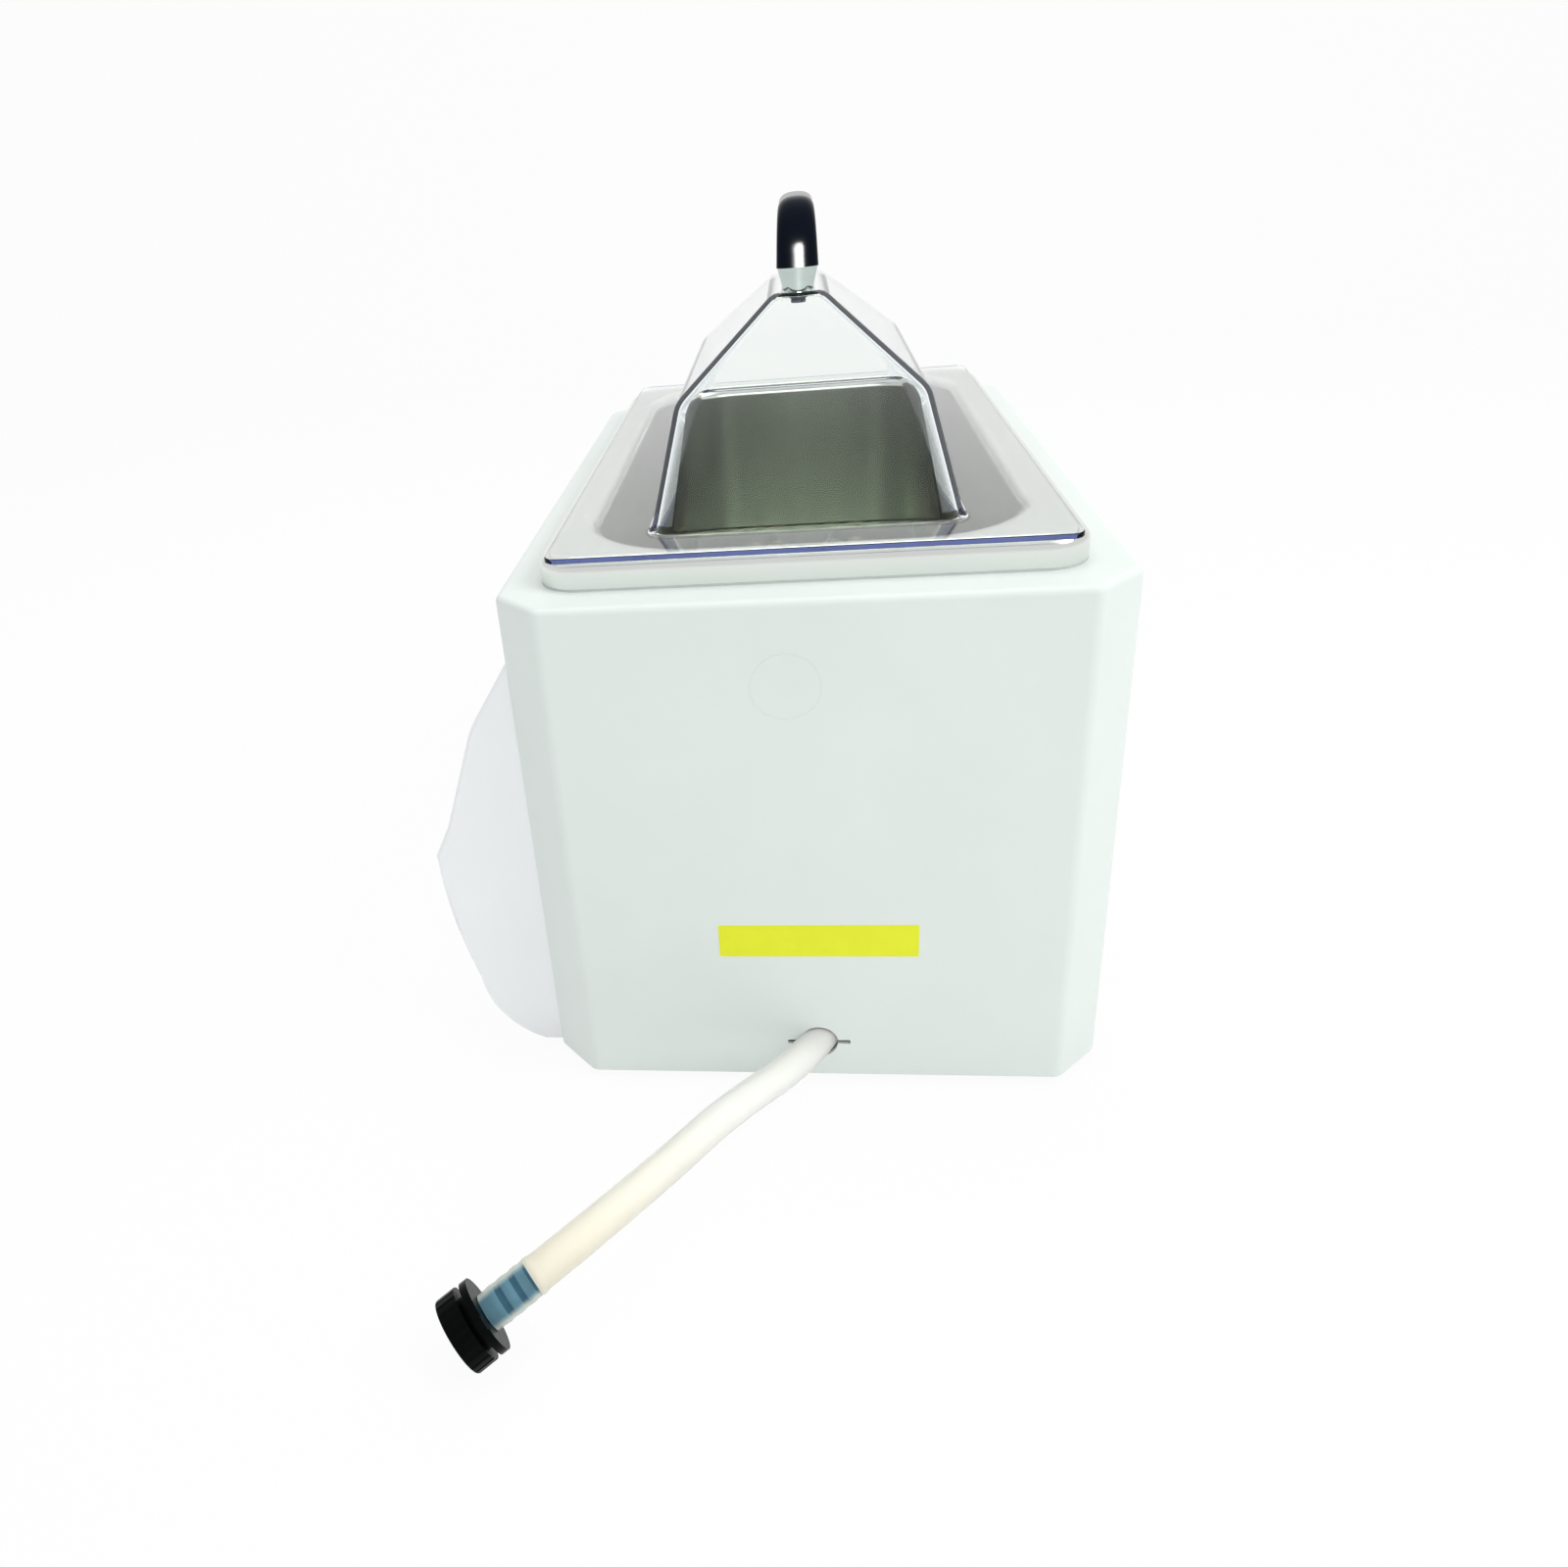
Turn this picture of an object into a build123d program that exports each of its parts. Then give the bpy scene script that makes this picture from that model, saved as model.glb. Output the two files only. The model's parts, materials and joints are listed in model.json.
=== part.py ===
"""Circulating water bath, millimetres, +Z up, standing on its feet.

The bath is drawn about the middle of its housing: X runs along the tank, the front fascia is on -Y,
the hose nozzles are on +Y and the drain is in the +X end. Each piece is then moved along Y, so that
the origin is the middle of the whole bath's footprint, on the surface that it stands on.
"""
from build123d import *
import os
from math import cos, hypot, pi, radians, sin, sqrt, tan

# Housing
housing_length = 524.0
housing_width = 340.0
housing_height = 317.0
housing_wall = 2.5
corner_cut = 26.0
corner_turn = 45.0
corner_round = 9.0
corner_reach = corner_round * tan(radians(corner_turn / 2))
edge_round = 4.0
post_size = 16.0
post_height = 24.0
post_inset = 60.0
mark_radius = 19.5
mark_line = 1.0
mark_depth = 0.2
mark_across = -13.0
mark_height = 268.5
harness_window = 40.0
vent_count = 7
vent_pitch = 11.0
vent_length = 60.0
vent_slot = 4.5
vent_inset = 112.0
vent_along = housing_length / 2 - vent_inset
vent_height = 62.0

# Base plate, feet and screws
base_thickness = 2.0
fit_gap = 0.3
foot_height = 6.0
foot_radius = 15.0
foot_inset = 62.0
foot_side_inset = 52.0
foot_along = housing_length / 2 - foot_inset
foot_across = housing_width / 2 - foot_side_inset
foot_taper = 2.0
screw_radius = 1.5
screw_hole = 0.2
screw_head = 3.2
screw_head_height = 1.6
screw_length = 14.0
stud_radius = 3.0
stud_height = 10.0

# Tank
tank_margin = 40.0
tank_side_margin = 51.0
tank_length = housing_length - 2 * tank_margin
tank_width = housing_width - 2 * tank_side_margin
tank_depth = 185.0
tank_wall = 1.2
tank_corner = 62.0
tank_floor_round = 20.0
rim_reach = 14.0
rim_side_reach = 28.0
rim_length = tank_length + 2 * rim_reach
rim_width = tank_width + 2 * rim_side_reach
rim_height = 15.1
rim_corner = 24.0
rim_outer_round = 5.8
rim_inner_round = 7.4
deck_clearance = 3.0
gasket_thickness = 1.5
gasket_width = 6.0
clamp_width = 24.0
clamp_drop = 26.0
clamp_reach = 18.0
clamp_sheet = 2.0
clamp_along = 140.0
insulation_thickness = 12.0
insulation_low = 200.0
insulation_high = 286.0
grid_clearance = 22.0
grid_side_clearance = 21.0
grid_length = tank_length - 2 * grid_clearance
grid_width = tank_width - 2 * grid_side_clearance
grid_corner = 40.0
grid_sheet = 1.2
grid_height = 42.0
grid_leg_inset = 50.0
grid_leg_length = grid_length - 2 * grid_leg_inset
grid_hole_radius = 6.0
grid_pitch = 28.0

# Heater and probes
heater_radius = 4.25
heater_bend = 25.0
heater_height = 31.0
heater_end_clearance = 92.0
heater_reach = tank_length / 2 - heater_end_clearance
heater_tail = 21.0
terminal_radius = 1.6
terminal_length = 7.0
gland_neck = 6.8
gland_flange = 10.0
gland_flange_thickness = 3.0
gland_nut_thickness = 5.0
gland_bore_gap = 0.2
probe_radius = 2.5
probe_length = 96.0
probe_tail = 15.0
probe_across = 46.0

# Lid
lid_overhang = 2.5
lid_side_inset = 7.0
lid_length = rim_length + 2 * lid_overhang
lid_width = rim_width - 2 * lid_side_inset
lid_thickness = 3.0
lid_corner = 7.0
lid_gap = 0.3
flange_end = 33.0
flange_side = 54.5
handle_spacing = 104.0
ridge_spare = 23.0
dome_base_length = lid_length - 2 * flange_end
dome_base_width = lid_width - 2 * flange_side
dome_base_corner = 14.0
dome_shoulder_length = 262.0
dome_shoulder_width = 149.0
dome_shoulder_corner = 9.0
dome_shoulder_height = 54.5
dome_ridge_length = handle_spacing + ridge_spare
dome_ridge_width = 32.0
dome_ridge_corner = 6.0
dome_height = 104.5
dome_ridge_round = 4.5

# Lid handle
handle_rise = 53.0
handle_width = 25.0
handle_depth = 15.0
handle_bend = 22.0
handle_end_height = 14.0
handle_end_width = 18.0
handle_end_depth = 12.0
handle_screw_radius = 2.4
handle_screw_depth = 10.0
handle_head_radius = 4.6
handle_head_height = 3.4
washer_radius = 5.6
washer_thickness = 1.0

# Front fascia: reach out from the housing's front face, and height above the housing's lower edge
fascia_length = housing_length - 2 * (corner_cut + corner_reach)
fascia_wall = 3.0
fascia_top = 276.0
fascia_break_reach = 29.0
fascia_break = 232.0
fascia_ledge_reach = 53.0
fascia_ledge = 166.0
fascia_reach = 64.0
fascia_lip = 145.0
fascia_apron_reach = 59.5
fascia_apron = 91.0
fascia_turn_reach = 48.0
fascia_turn = 44.0
fascia_toe_reach = 33.5
fascia_toe = 15.0
fascia_sole_reach = 12.0
fascia_bend = 60.0
fascia_end_round = 3.0
boss_radius = 4.5
boss_inset = 24.0
boss_along = fascia_length / 2 - boss_inset
boss_low = 70.0
boss_high = 205.0

# Control panel, on the sloping face of the fascia
overlay_length = 320.0
overlay_width = 56.0
overlay_corner = 5.0
overlay_thickness = 1.0
window_along = -70.0
window_length = 96.0
window_width = 32.0
window_lap = 4.0
window_thickness = 0.9
display_height = 8.0
display_margin = 3.0
board_depth = 8.2
board_length = 296.0
board_width = 44.0
board_thickness = 1.6
board_cut_gap = 1.0
standoff_radius = 2.6
standoff_along = 142.0
standoff_across = 16.0
key_first_along = 0.0
key_pitch = 23.0
key_length = 15.0
key_width = 11.5
key_corner = 3.0
key_gap = 0.3
key_proud = 1.3
key_flange = 1.6
key_flange_thickness = 1.2
key_flange_gap = 0.2
key_stem_radius = 2.2
key_stem_length = 1.0
key_travel = 0.8
tact_size = 6.0
tact_plunger_radius = 1.7
tact_spare = 0.1
tact_plunger_length = 1.4
switch_along = 124.0
switch_length = 21.6
switch_width = 28.0
switch_bezel = 2.2
switch_bezel_thickness = 1.6
switch_depth = 17.0
rocker_radius = 11.2
rocker_length = 16.4
rocker_gap = 0.3
rocker_pivot_depth = 4.0
rocker_crown = 7.6
rocker_valley = 5.8
rocker_belly = 5.0
rocker_pin_radius = 1.5
rocker_pin_length = 1.6
rocker_pin_gap = 0.06
rocker_tilt = 8.0

# Back wall: inlet, fuse holder and hose nozzles
inlet_inset = 92.0
inlet_along = inlet_inset - housing_length / 2
inlet_height = 52.0
inlet_length = 27.4
inlet_width = 20.0
inlet_depth = 20.0
inlet_wall = 1.7
inlet_floor = 3.0
inlet_flange_length = 48.0
inlet_flange_width = 26.0
inlet_flange_thickness = 2.5
pin_length = 12.5
pin_width = 4.0
pin_thickness = 2.0
pin_pitch = 7.0
pin_offset = 2.0
fuse_spacing = 50.0
fuse_along = inlet_along + fuse_spacing
fuse_cap_radius = 7.5
fuse_cap_height = 9.0
fuse_body_radius = 5.8
fuse_body_length = 26.0
nozzle_reach = 30.0
nozzle_radius = 6.0
nozzle_bore = 4.0
nozzle_flange_radius = 12.0
nozzle_flange_thickness = 5.0
nozzle_thread_radius = 8.0
nozzle_thread_length = 12.0
nozzle_tail_radius = 5.0
nozzle_tail_length = 18.0
nozzle_spacing = 60.0
nozzle_groove = 0.6
nut_across = 24.0
nut_thickness = 5.0

# Pump and motor, on an axis along X
pump_along = -62.0
pump_height = 80.0
volute_radius = 30.0
volute_wall = 4.0
volute_length = 28.0
volute_back = 3.0
spout_rise = 20.0
spout_radius = 5.0
spout_bore = 3.5
spout_reach = 62.0
cover_thickness = 4.0
inlet_spout_radius = 6.0
inlet_spout_bore = 4.5
inlet_spout_length = 20.0
impeller_radius = 23.0
impeller_disc = 3.0
impeller_vane_height = 9.0
impeller_vane = 2.0
impeller_hub = 6.0
vane_count = 6
impeller_gap = 3.0
shaft_radius = 3.0
shaft_gap = 0.05
seal_radius = 8.0
motor_radius = 32.0
motor_length = 84.0
motor_wall = 2.0
motor_face = 4.0
stator_inner = 20.0
stator_length = 44.0
rotor_radius = 19.4
rotor_length = 40.0
bearing_radius = 9.0
bearing_width = 6.0
bracket_sheet = 4.0
bracket_width = 76.0
bracket_rise = 12.0
bracket_spacing = 50.0

# Hoses inside the housing
hose_radius = 8.0
hose_gap = 0.2
suction_along = 30.0
suction_bend = 45.0
return_across = 60.0
return_bend = 30.0
spigot_length = 16.0
spigot_flange_radius = 15.0
spigot_flange_thickness = 2.5
clamp_ring_width = 8.0
clamp_ring_thickness = 1.2

# Drain
drain_hole_radius = 11.5
drain_slot_reach = 19.0
drain_slot_height = 3.0
drain_height = 25.6
drain_heading = 27.0
drain_hose_radius = 9.6
drain_hose_bore = 7.2
drain_bend = 66.0
drain_run = 60.0
drain_seam = 22.3
drain_lead = 19.4
drain_spigot_radius = 7.0

# Free drain hose, from the run through the hole to the plug: out from the housing's end, across from its
# middle and height above the floor
drain_tail = [
    (60.1, -51.6, 35.0),
    (105.9, -82.4, 39.5),
    (143.3, -111.6, 41.0),
    (172.3, -139.4, 37.5),
    (190.5, -166.8, 25.4),
]
cord_arc_share = 0.45
plug_disc_radius = 19.5
plug_disc_thickness = 4.0
plug_groove_radius = 14.0
plug_groove_width = 3.2
plug_cap_radius = 19.7
plug_cap_thickness = 11.0
plug_cap_dish = 3.0
plug_lug_reach = 2.8
plug_lug_turn = 45.0
plug_lug_width = 7.0
plug_neck_radius = 6.0
plug_barb_radius = 7.0
plug_barb_length = 7.0
plug_barb_count = 4
plug_grip_count = 24
plug_grip_radius = 1.1
plug_bore = 3.0

# Electronics inside
power_board_length = 130.0
power_board_width = 80.0
power_board_along = 105.0
power_board_inset = 62.0
power_board_across = power_board_inset - housing_width / 2
transformer_length = 48.0
transformer_width = 40.0
transformer_height = 38.0
transformer_along = 138.0
terminal_block_length = 12.0
terminal_block_width = 50.0
terminal_block_height = 11.0
sink_length = 60.0
sink_width = 50.0
sink_height = 25.0
sink_base = 5.0
sink_fin = 2.0
sink_fin_count = 8
sink_along = -10.0
sink_inset = 48.0
sink_across = sink_inset - housing_width / 2
relay_length = 57.0
relay_width = 44.0
relay_height = 22.0
harness_radius = 3.0
harness_bend = 24.0
harness_along = 94.0
harness_inset = 27.0
harness_across = harness_inset - housing_width / 2
mains_radius = 4.0
mains_bend = 14.0
mains_height = 20.0
mains_inset = 58.0
mains_across = housing_width / 2 - mains_inset
connector_length = 16.0
connector_width = 10.0
connector_depth = 6.0
connector_gap = 3.6

# Plain strip on the end face
strip_length = 116.5
strip_width = 22.5
strip_thickness = 0.25
strip_across = 0.8
strip_height = 102.8

key_names = ["key_menu", "key_down", "key_up", "key_start"]
overrun = 5.0
mid_share = 0.5

# Places worked out from the sizes
half_length = housing_length / 2
half_width = housing_width / 2
base_z = foot_height
plate_z = base_z + base_thickness
deck_z = base_z + housing_height
gasket_z = deck_z + gasket_thickness
rim_z = gasket_z + rim_height
tank_floor_z = rim_z - tank_depth
tank_under_z = tank_floor_z - tank_wall
lid_under_z = rim_z + lid_gap
lid_z = lid_under_z + lid_thickness
ridge_z = lid_z + dome_height
heater_z = tank_floor_z + heater_height
pump_back = pump_along - volute_length / 2
pump_front = pump_along + volute_length / 2
motor_front = pump_back
motor_back = motor_front - motor_length
pump_z = base_z + pump_height
spout_z = pump_z + spout_rise
nozzle_z = spout_z
drain_z = base_z + drain_height
board_top_z = plate_z + stud_height + board_thickness
body_shift = (fascia_reach - nozzle_reach) / 2

saved = {}


def save(name, *solids):
    """Moves the piece from the housing's middle to the footprint's middle and keeps it for the files."""
    pieces = [Pos(0, body_shift, 0) * s for part in solids for s in part.solids()]
    saved[name] = pieces[0] if len(pieces) == 1 else Compound(pieces)


def block(x0, x1, y0, y1, z0, z1):
    middle = ((x0 + x1) / 2, (y0 + y1) / 2, (z0 + z1) / 2)
    return Pos(*middle) * Box(abs(x1 - x0), abs(y1 - y0), abs(z1 - z0))


def column(outline, z0, z1):
    return Pos(0, 0, z0) * extrude(outline, z1 - z0)


def rod(start, direction, radius, length):
    plane = Plane(origin=start, z_dir=direction)
    return plane * Cylinder(radius, length, align=(Align.CENTER, Align.CENTER, Align.MIN))


def rounded(length, width, corner):
    return RectangleRounded(length, width, corner)


def bent_tube(points, bends, outer, inner):
    """A tube along straight runs and tangent arcs."""
    path = FilletPolyline(*points, radius=bends)
    start = Plane(origin=path @ 0, z_dir=path % 0)
    ring = Circle(outer) if inner == 0 else Circle(outer) - Circle(inner)
    return sweep(start * ring, path=path)


def print_volume(name, solid, length, outer, inner):
    section = pi * (outer * outer - inner * inner)
    print(name, "volume over section times length", round(solid.volume / (section * length), 4))


def along_x(x0, x1, y, z, radius):
    return rod((x0, y, z), (1, 0, 0), radius, x1 - x0)


def upright(x, y, z0, z1, radius):
    return rod((x, y, z0), (0, 0, 1), radius, z1 - z0)


def corners(along, across):
    return [(sx * along, sy * across) for sx in (-1, 1) for sy in (-1, 1)]


# Housing

def housing_outline():
    shape = Rectangle(housing_length, housing_width)
    shape = chamfer(shape.vertices(), corner_cut)
    return fillet(shape.vertices(), corner_round)


def post_places():
    return corners(half_length - post_inset, half_width - housing_wall - post_size / 2)


def fascia_screw_places():
    return [(sx * boss_along, base_z + h) for sx in (-1, 1) for h in (boss_low, boss_high)]


def drain_keyhole():
    hole = rod((half_length - housing_wall - overrun, 0, drain_z), (1, 0, 0), drain_hole_radius,
               housing_wall + 2 * overrun)
    slot = block(half_length - housing_wall - overrun, half_length + overrun,
                 -drain_slot_reach, drain_slot_reach,
                 drain_z - drain_slot_height / 2, drain_z + drain_slot_height / 2)
    return hole + slot


def round_mark():
    centre = (half_length - mark_depth, mark_across, base_z + mark_height)
    outer = rod(centre, (1, 0, 0), mark_radius, overrun)
    return outer - rod(centre, (1, 0, 0), mark_radius - mark_line, overrun)


def back_openings():
    y = half_width - housing_wall - overrun
    reach = housing_wall + 2 * overrun
    cut = block(inlet_along - inlet_length / 2 - fit_gap, inlet_along + inlet_length / 2 + fit_gap,
                y, y + reach,
                inlet_height - inlet_width / 2 - fit_gap, inlet_height + inlet_width / 2 + fit_gap)
    cut += rod((fuse_along, y, inlet_height), (0, 1, 0), fuse_body_radius + fit_gap, reach)
    for x in nozzle_places():
        cut += rod((x, y, nozzle_z), (0, 1, 0), nozzle_thread_radius + fit_gap, reach)
    for i in range(vent_count):
        x = vent_along + (i - (vent_count - 1) / 2) * vent_pitch
        cut += block(x - vent_slot / 2, x + vent_slot / 2, y, y + reach,
                     vent_height - vent_length / 2, vent_height + vent_length / 2)
    return cut


def front_openings():
    y = -half_width - overrun
    z = panel_plane().origin.Z
    cut = block(harness_along - harness_window / 2, harness_along + harness_window / 2,
                y, y + housing_wall + 2 * overrun, z - harness_window / 2, z + harness_window / 2)
    for x, z in fascia_screw_places():
        cut += rod((x, y, z), (0, 1, 0), screw_radius + screw_hole, housing_wall + 2 * overrun)
    return cut


def housing_shell():
    outer = column(housing_outline(), base_z, deck_z)
    outer = fillet(outer.edges().group_by(Axis.Z)[-1], edge_round)
    inner = offset(housing_outline(), -housing_wall)
    shell = outer - column(inner, base_z - overrun, deck_z - housing_wall)
    deck_hole = rounded(tank_length + 2 * (tank_wall + deck_clearance),
                        tank_width + 2 * (tank_wall + deck_clearance),
                        tank_corner + tank_wall + deck_clearance)
    shell -= column(deck_hole, deck_z - housing_wall - overrun, deck_z + overrun)
    for x, y in post_places():
        wall_side = half_width - housing_wall / 2
        inside = half_width - housing_wall - post_size
        y0, y1 = (inside, wall_side) if y > 0 else (-wall_side, -inside)
        post = block(x - post_size / 2, x + post_size / 2, y0, y1, plate_z, plate_z + post_height)
        shell += post
    for x, y in post_places():
        shell -= upright(x, y, plate_z - overrun, plate_z + screw_length, screw_radius + screw_hole)
    shell -= drain_keyhole()
    shell -= round_mark()
    shell -= back_openings()
    shell -= front_openings()
    return shell


def base_plate():
    plate = column(offset(housing_outline(), -housing_wall - fit_gap), base_z, plate_z)
    for x, y in post_places():
        plate -= upright(x, y, base_z - overrun, plate_z + overrun, screw_radius + screw_hole)
    for x, y in board_studs():
        plate += upright(x, y, plate_z, plate_z + stud_height, stud_radius)
    for i in range(vent_count):
        y = (i - (vent_count - 1) / 2) * vent_pitch
        plate -= block(-vent_along - vent_length / 2, -vent_along + vent_length / 2,
                       y - vent_slot / 2, y + vent_slot / 2, base_z - overrun, plate_z + overrun)
    return plate


def feet():
    pads = []
    for x, y in corners(foot_along, foot_across):
        bottom = Pos(x, y, 0) * Circle(foot_radius - foot_taper)
        top = Pos(x, y, foot_height) * Circle(foot_radius)
        pads.append(loft([bottom, top], ruled=True))
    return pads


def case_screws():
    screws = []
    for x, y in post_places():
        head = upright(x, y, base_z - screw_head_height, base_z, screw_head)
        screws.append(head + upright(x, y, base_z, base_z + screw_length, screw_radius))
    inner = -half_width + housing_wall
    for x, z in fascia_screw_places():
        head = rod((x, inner, z), (0, 1, 0), screw_head, screw_head_height)
        screws.append(head + rod((x, inner, z), (0, -1, 0), screw_radius, screw_length))
    return screws


def label_strip():
    z = base_z + strip_height
    return block(half_length, half_length + strip_thickness,
                 strip_across - strip_length / 2, strip_across + strip_length / 2,
                 z - strip_width / 2, z + strip_width / 2)


# Tank

def tank():
    bowl_out = rounded(tank_length + 2 * tank_wall, tank_width + 2 * tank_wall, tank_corner + tank_wall)
    bowl_in = rounded(tank_length, tank_width, tank_corner)
    skirt = rounded(rim_length, rim_width, rim_corner)
    crown = column(skirt, gasket_z, rim_z)
    crown = fillet(crown.edges().group_by(Axis.Z)[-1], rim_outer_round)
    bowl = column(bowl_out, tank_under_z, rim_z)
    bowl = fillet(bowl.edges().group_by(Axis.Z)[0], tank_floor_round + tank_wall)
    inside = column(bowl_in, tank_floor_z, rim_z)
    inside = fillet(inside.edges().group_by(Axis.Z)[0], tank_floor_round)
    shape = crown + bowl - inside
    lip = shape.edges().filter_by_position(Axis.Z, rim_z - rim_inner_round / 100, rim_z + rim_inner_round / 100)
    lip = [e for e in lip if abs(e.center().X) < tank_length / 2 + tank_wall / 2
           and abs(e.center().Y) < tank_width / 2 + tank_wall / 2]
    shape = fillet(lip, rim_inner_round)
    hollow = column(offset(skirt, -tank_wall), gasket_z - overrun, rim_z - tank_wall)
    hollow = fillet(hollow.edges().group_by(Axis.Z)[-1], rim_outer_round - tank_wall)
    hollow -= column(bowl_out, gasket_z - 2 * overrun, rim_z)
    under = hollow.edges().group_by(Axis.Z)[-1]
    under = [e for e in under if abs(e.center().X) < rim_length / 2 - rim_outer_round
             and abs(e.center().Y) < tank_width / 2 + 2 * tank_wall]
    hollow = fillet(under, rim_inner_round - tank_wall)
    shape -= hollow
    for x, y, radius in floor_spigots():
        shape -= upright(x, y, tank_under_z - overrun, tank_floor_z + overrun, radius)
    for y in gland_places():
        shape -= along_x(-tank_length / 2 - overrun, -tank_length / 2 + overrun, y, heater_z, gland_neck)
    return shape


def rim_gasket():
    outline = rounded(rim_length, rim_width, rim_corner)
    return column(outline - offset(outline, -gasket_width), deck_z, gasket_z)


def tank_clamps():
    pieces = []
    top = deck_z - housing_wall
    wall = tank_width / 2 + tank_wall
    for side in (-1, 1):
        for x in (-clamp_along, 0, clamp_along):
            leg = block(x - clamp_width / 2, x + clamp_width / 2, side * wall, side * (wall + clamp_sheet),
                        top - clamp_drop, top)
            arm = block(x - clamp_width / 2, x + clamp_width / 2, side * wall, side * (wall + clamp_reach),
                        top - clamp_sheet, top)
            pieces.append(leg + arm)
    return pieces


def tank_insulation():
    grow = 2 * (tank_wall + fit_gap)
    inner = rounded(tank_length + grow, tank_width + grow, tank_corner + grow / 2)
    grow += 2 * insulation_thickness
    outer = rounded(tank_length + grow, tank_width + grow, tank_corner + grow / 2)
    return column(outer - inner, insulation_low, insulation_high)


def floor_grid():
    z = tank_floor_z + grid_height
    plate = column(rounded(grid_length, grid_width, grid_corner), z - grid_sheet, z)
    columns = int((grid_length - 2 * grid_corner + grid_sheet) / grid_pitch) + 1
    rows = int((grid_width - 2 * grid_pitch + grid_sheet) / grid_pitch) + 1
    holes = GridLocations(grid_pitch, grid_pitch, columns, rows) * Circle(grid_hole_radius)
    plate -= column(Sketch() + holes, z - grid_sheet - overrun, z + overrun)
    for side in (-1, 1):
        y = side * (grid_width / 2)
        plate += block(-grid_leg_length / 2, grid_leg_length / 2, y - side * grid_sheet, y, tank_floor_z, z)
    return plate


# Heater and probes

def gland_places():
    return [-probe_across, -heater_bend, heater_bend, probe_across]


def heater_tube():
    x0 = -tank_length / 2 - tank_wall - heater_tail
    points = [(x0, -heater_bend, heater_z), (heater_reach, -heater_bend, heater_z),
              (heater_reach, heater_bend, heater_z), (x0, heater_bend, heater_z)]
    bend = heater_bend - terminal_radius / 10
    tube = bent_tube(points, bend, heater_radius, 0)
    for y in (-heater_bend, heater_bend):
        tube += along_x(x0 - terminal_length, x0, y, heater_z, terminal_radius)
    return tube


def wall_glands():
    inner_wall = -tank_length / 2
    outer_wall = inner_wall - tank_wall
    pieces = []
    for y in gland_places():
        bore = heater_radius if abs(y) == heater_bend else probe_radius
        gland = along_x(outer_wall, inner_wall, y, heater_z, gland_neck - gland_bore_gap)
        gland += along_x(inner_wall, inner_wall + gland_flange_thickness, y, heater_z, gland_flange)
        gland += along_x(outer_wall - gland_nut_thickness, outer_wall, y, heater_z, gland_flange)
        gland -= along_x(outer_wall - gland_nut_thickness - overrun,
                         inner_wall + gland_flange_thickness + overrun, y, heater_z, bore + gland_bore_gap)
        pieces.append(gland)
    return pieces


def probe(side):
    x0 = -tank_length / 2 - tank_wall - probe_tail
    tube = along_x(x0, x0 + probe_length, side * probe_across, heater_z, probe_radius)
    tip = tube.faces().sort_by(Axis.X)[-1].edges()
    return fillet(tip, probe_radius * (1 - mid_share / 10))


# Lid

def inner_reach(low_reach, high_reach, low, high, z):
    """Half width of the inside of a sloping wall at height z."""
    slope = (low_reach - high_reach) / (high - low)
    return low_reach - slope * (z - low) - lid_thickness * sqrt(1 + slope * slope)


def dome_section(reach_x, reach_y, corner, z):
    return Pos(0, 0, lid_z + z) * rounded(2 * reach_x, 2 * reach_y, corner)


def lid():
    base = (dome_base_length / 2, dome_base_width / 2)
    shoulder = (dome_shoulder_length / 2, dome_shoulder_width / 2)
    ridge = (dome_ridge_length / 2, dome_ridge_width / 2)
    outer = loft([dome_section(*base, dome_base_corner, 0),
                  dome_section(*shoulder, dome_shoulder_corner, dome_shoulder_height),
                  dome_section(*ridge, dome_ridge_corner, dome_height)], ruled=True)
    outer = fillet(outer.edges().group_by(Axis.Z)[-1], dome_ridge_round)
    z_mid = dome_shoulder_height - lid_thickness * mid_share
    z_top = dome_height - lid_thickness
    low = [inner_reach(base[i], shoulder[i], 0, dome_shoulder_height, -lid_thickness) for i in (0, 1)]
    middle = [min(inner_reach(base[i], shoulder[i], 0, dome_shoulder_height, z_mid),
                  inner_reach(shoulder[i], ridge[i], dome_shoulder_height, dome_height, z_mid)) for i in (0, 1)]
    top = [inner_reach(shoulder[i], ridge[i], dome_shoulder_height, dome_height, z_top) for i in (0, 1)]
    inner = loft([dome_section(*low, dome_base_corner - lid_thickness, -lid_thickness),
                  dome_section(*middle, dome_shoulder_corner - lid_thickness, z_mid),
                  dome_section(*top, dome_ridge_corner - lid_thickness, z_top)], ruled=True)
    inner = fillet(inner.edges().group_by(Axis.Z)[-1], dome_ridge_round - lid_thickness)
    plate = column(rounded(lid_length, lid_width, lid_corner), lid_under_z, lid_z)
    shape = plate + outer - inner
    for x in handle_places():
        shape -= upright(x, 0, ridge_z - lid_thickness - overrun, ridge_z + overrun,
                         handle_screw_radius + screw_hole)
    return shape


def handle_places():
    return [-handle_spacing / 2, handle_spacing / 2]


def handle_grip():
    x = handle_spacing / 2
    low = ridge_z + handle_end_height
    high = ridge_z + handle_rise - handle_depth / 2
    path = FilletPolyline((x, 0, low), (x, 0, high), (-x, 0, high), (-x, 0, low), radius=handle_bend)
    section = Plane(origin=(x, 0, low), x_dir=(0, 1, 0), z_dir=(0, 0, 1)) * Ellipse(handle_width / 2, handle_depth / 2)
    return sweep(section, path=path)


def handle_ends():
    pieces = []
    for x in handle_places():
        foot = Pos(x, 0, ridge_z) * Ellipse(handle_end_depth / 2, handle_end_width / 2)
        top = Pos(x, 0, ridge_z + handle_end_height) * Ellipse(handle_depth / 2, handle_width / 2)
        end = loft([foot, top], ruled=True)
        end -= upright(x, 0, ridge_z - overrun, ridge_z + handle_screw_depth, handle_screw_radius + screw_hole)
        pieces.append(end)
    return pieces


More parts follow.
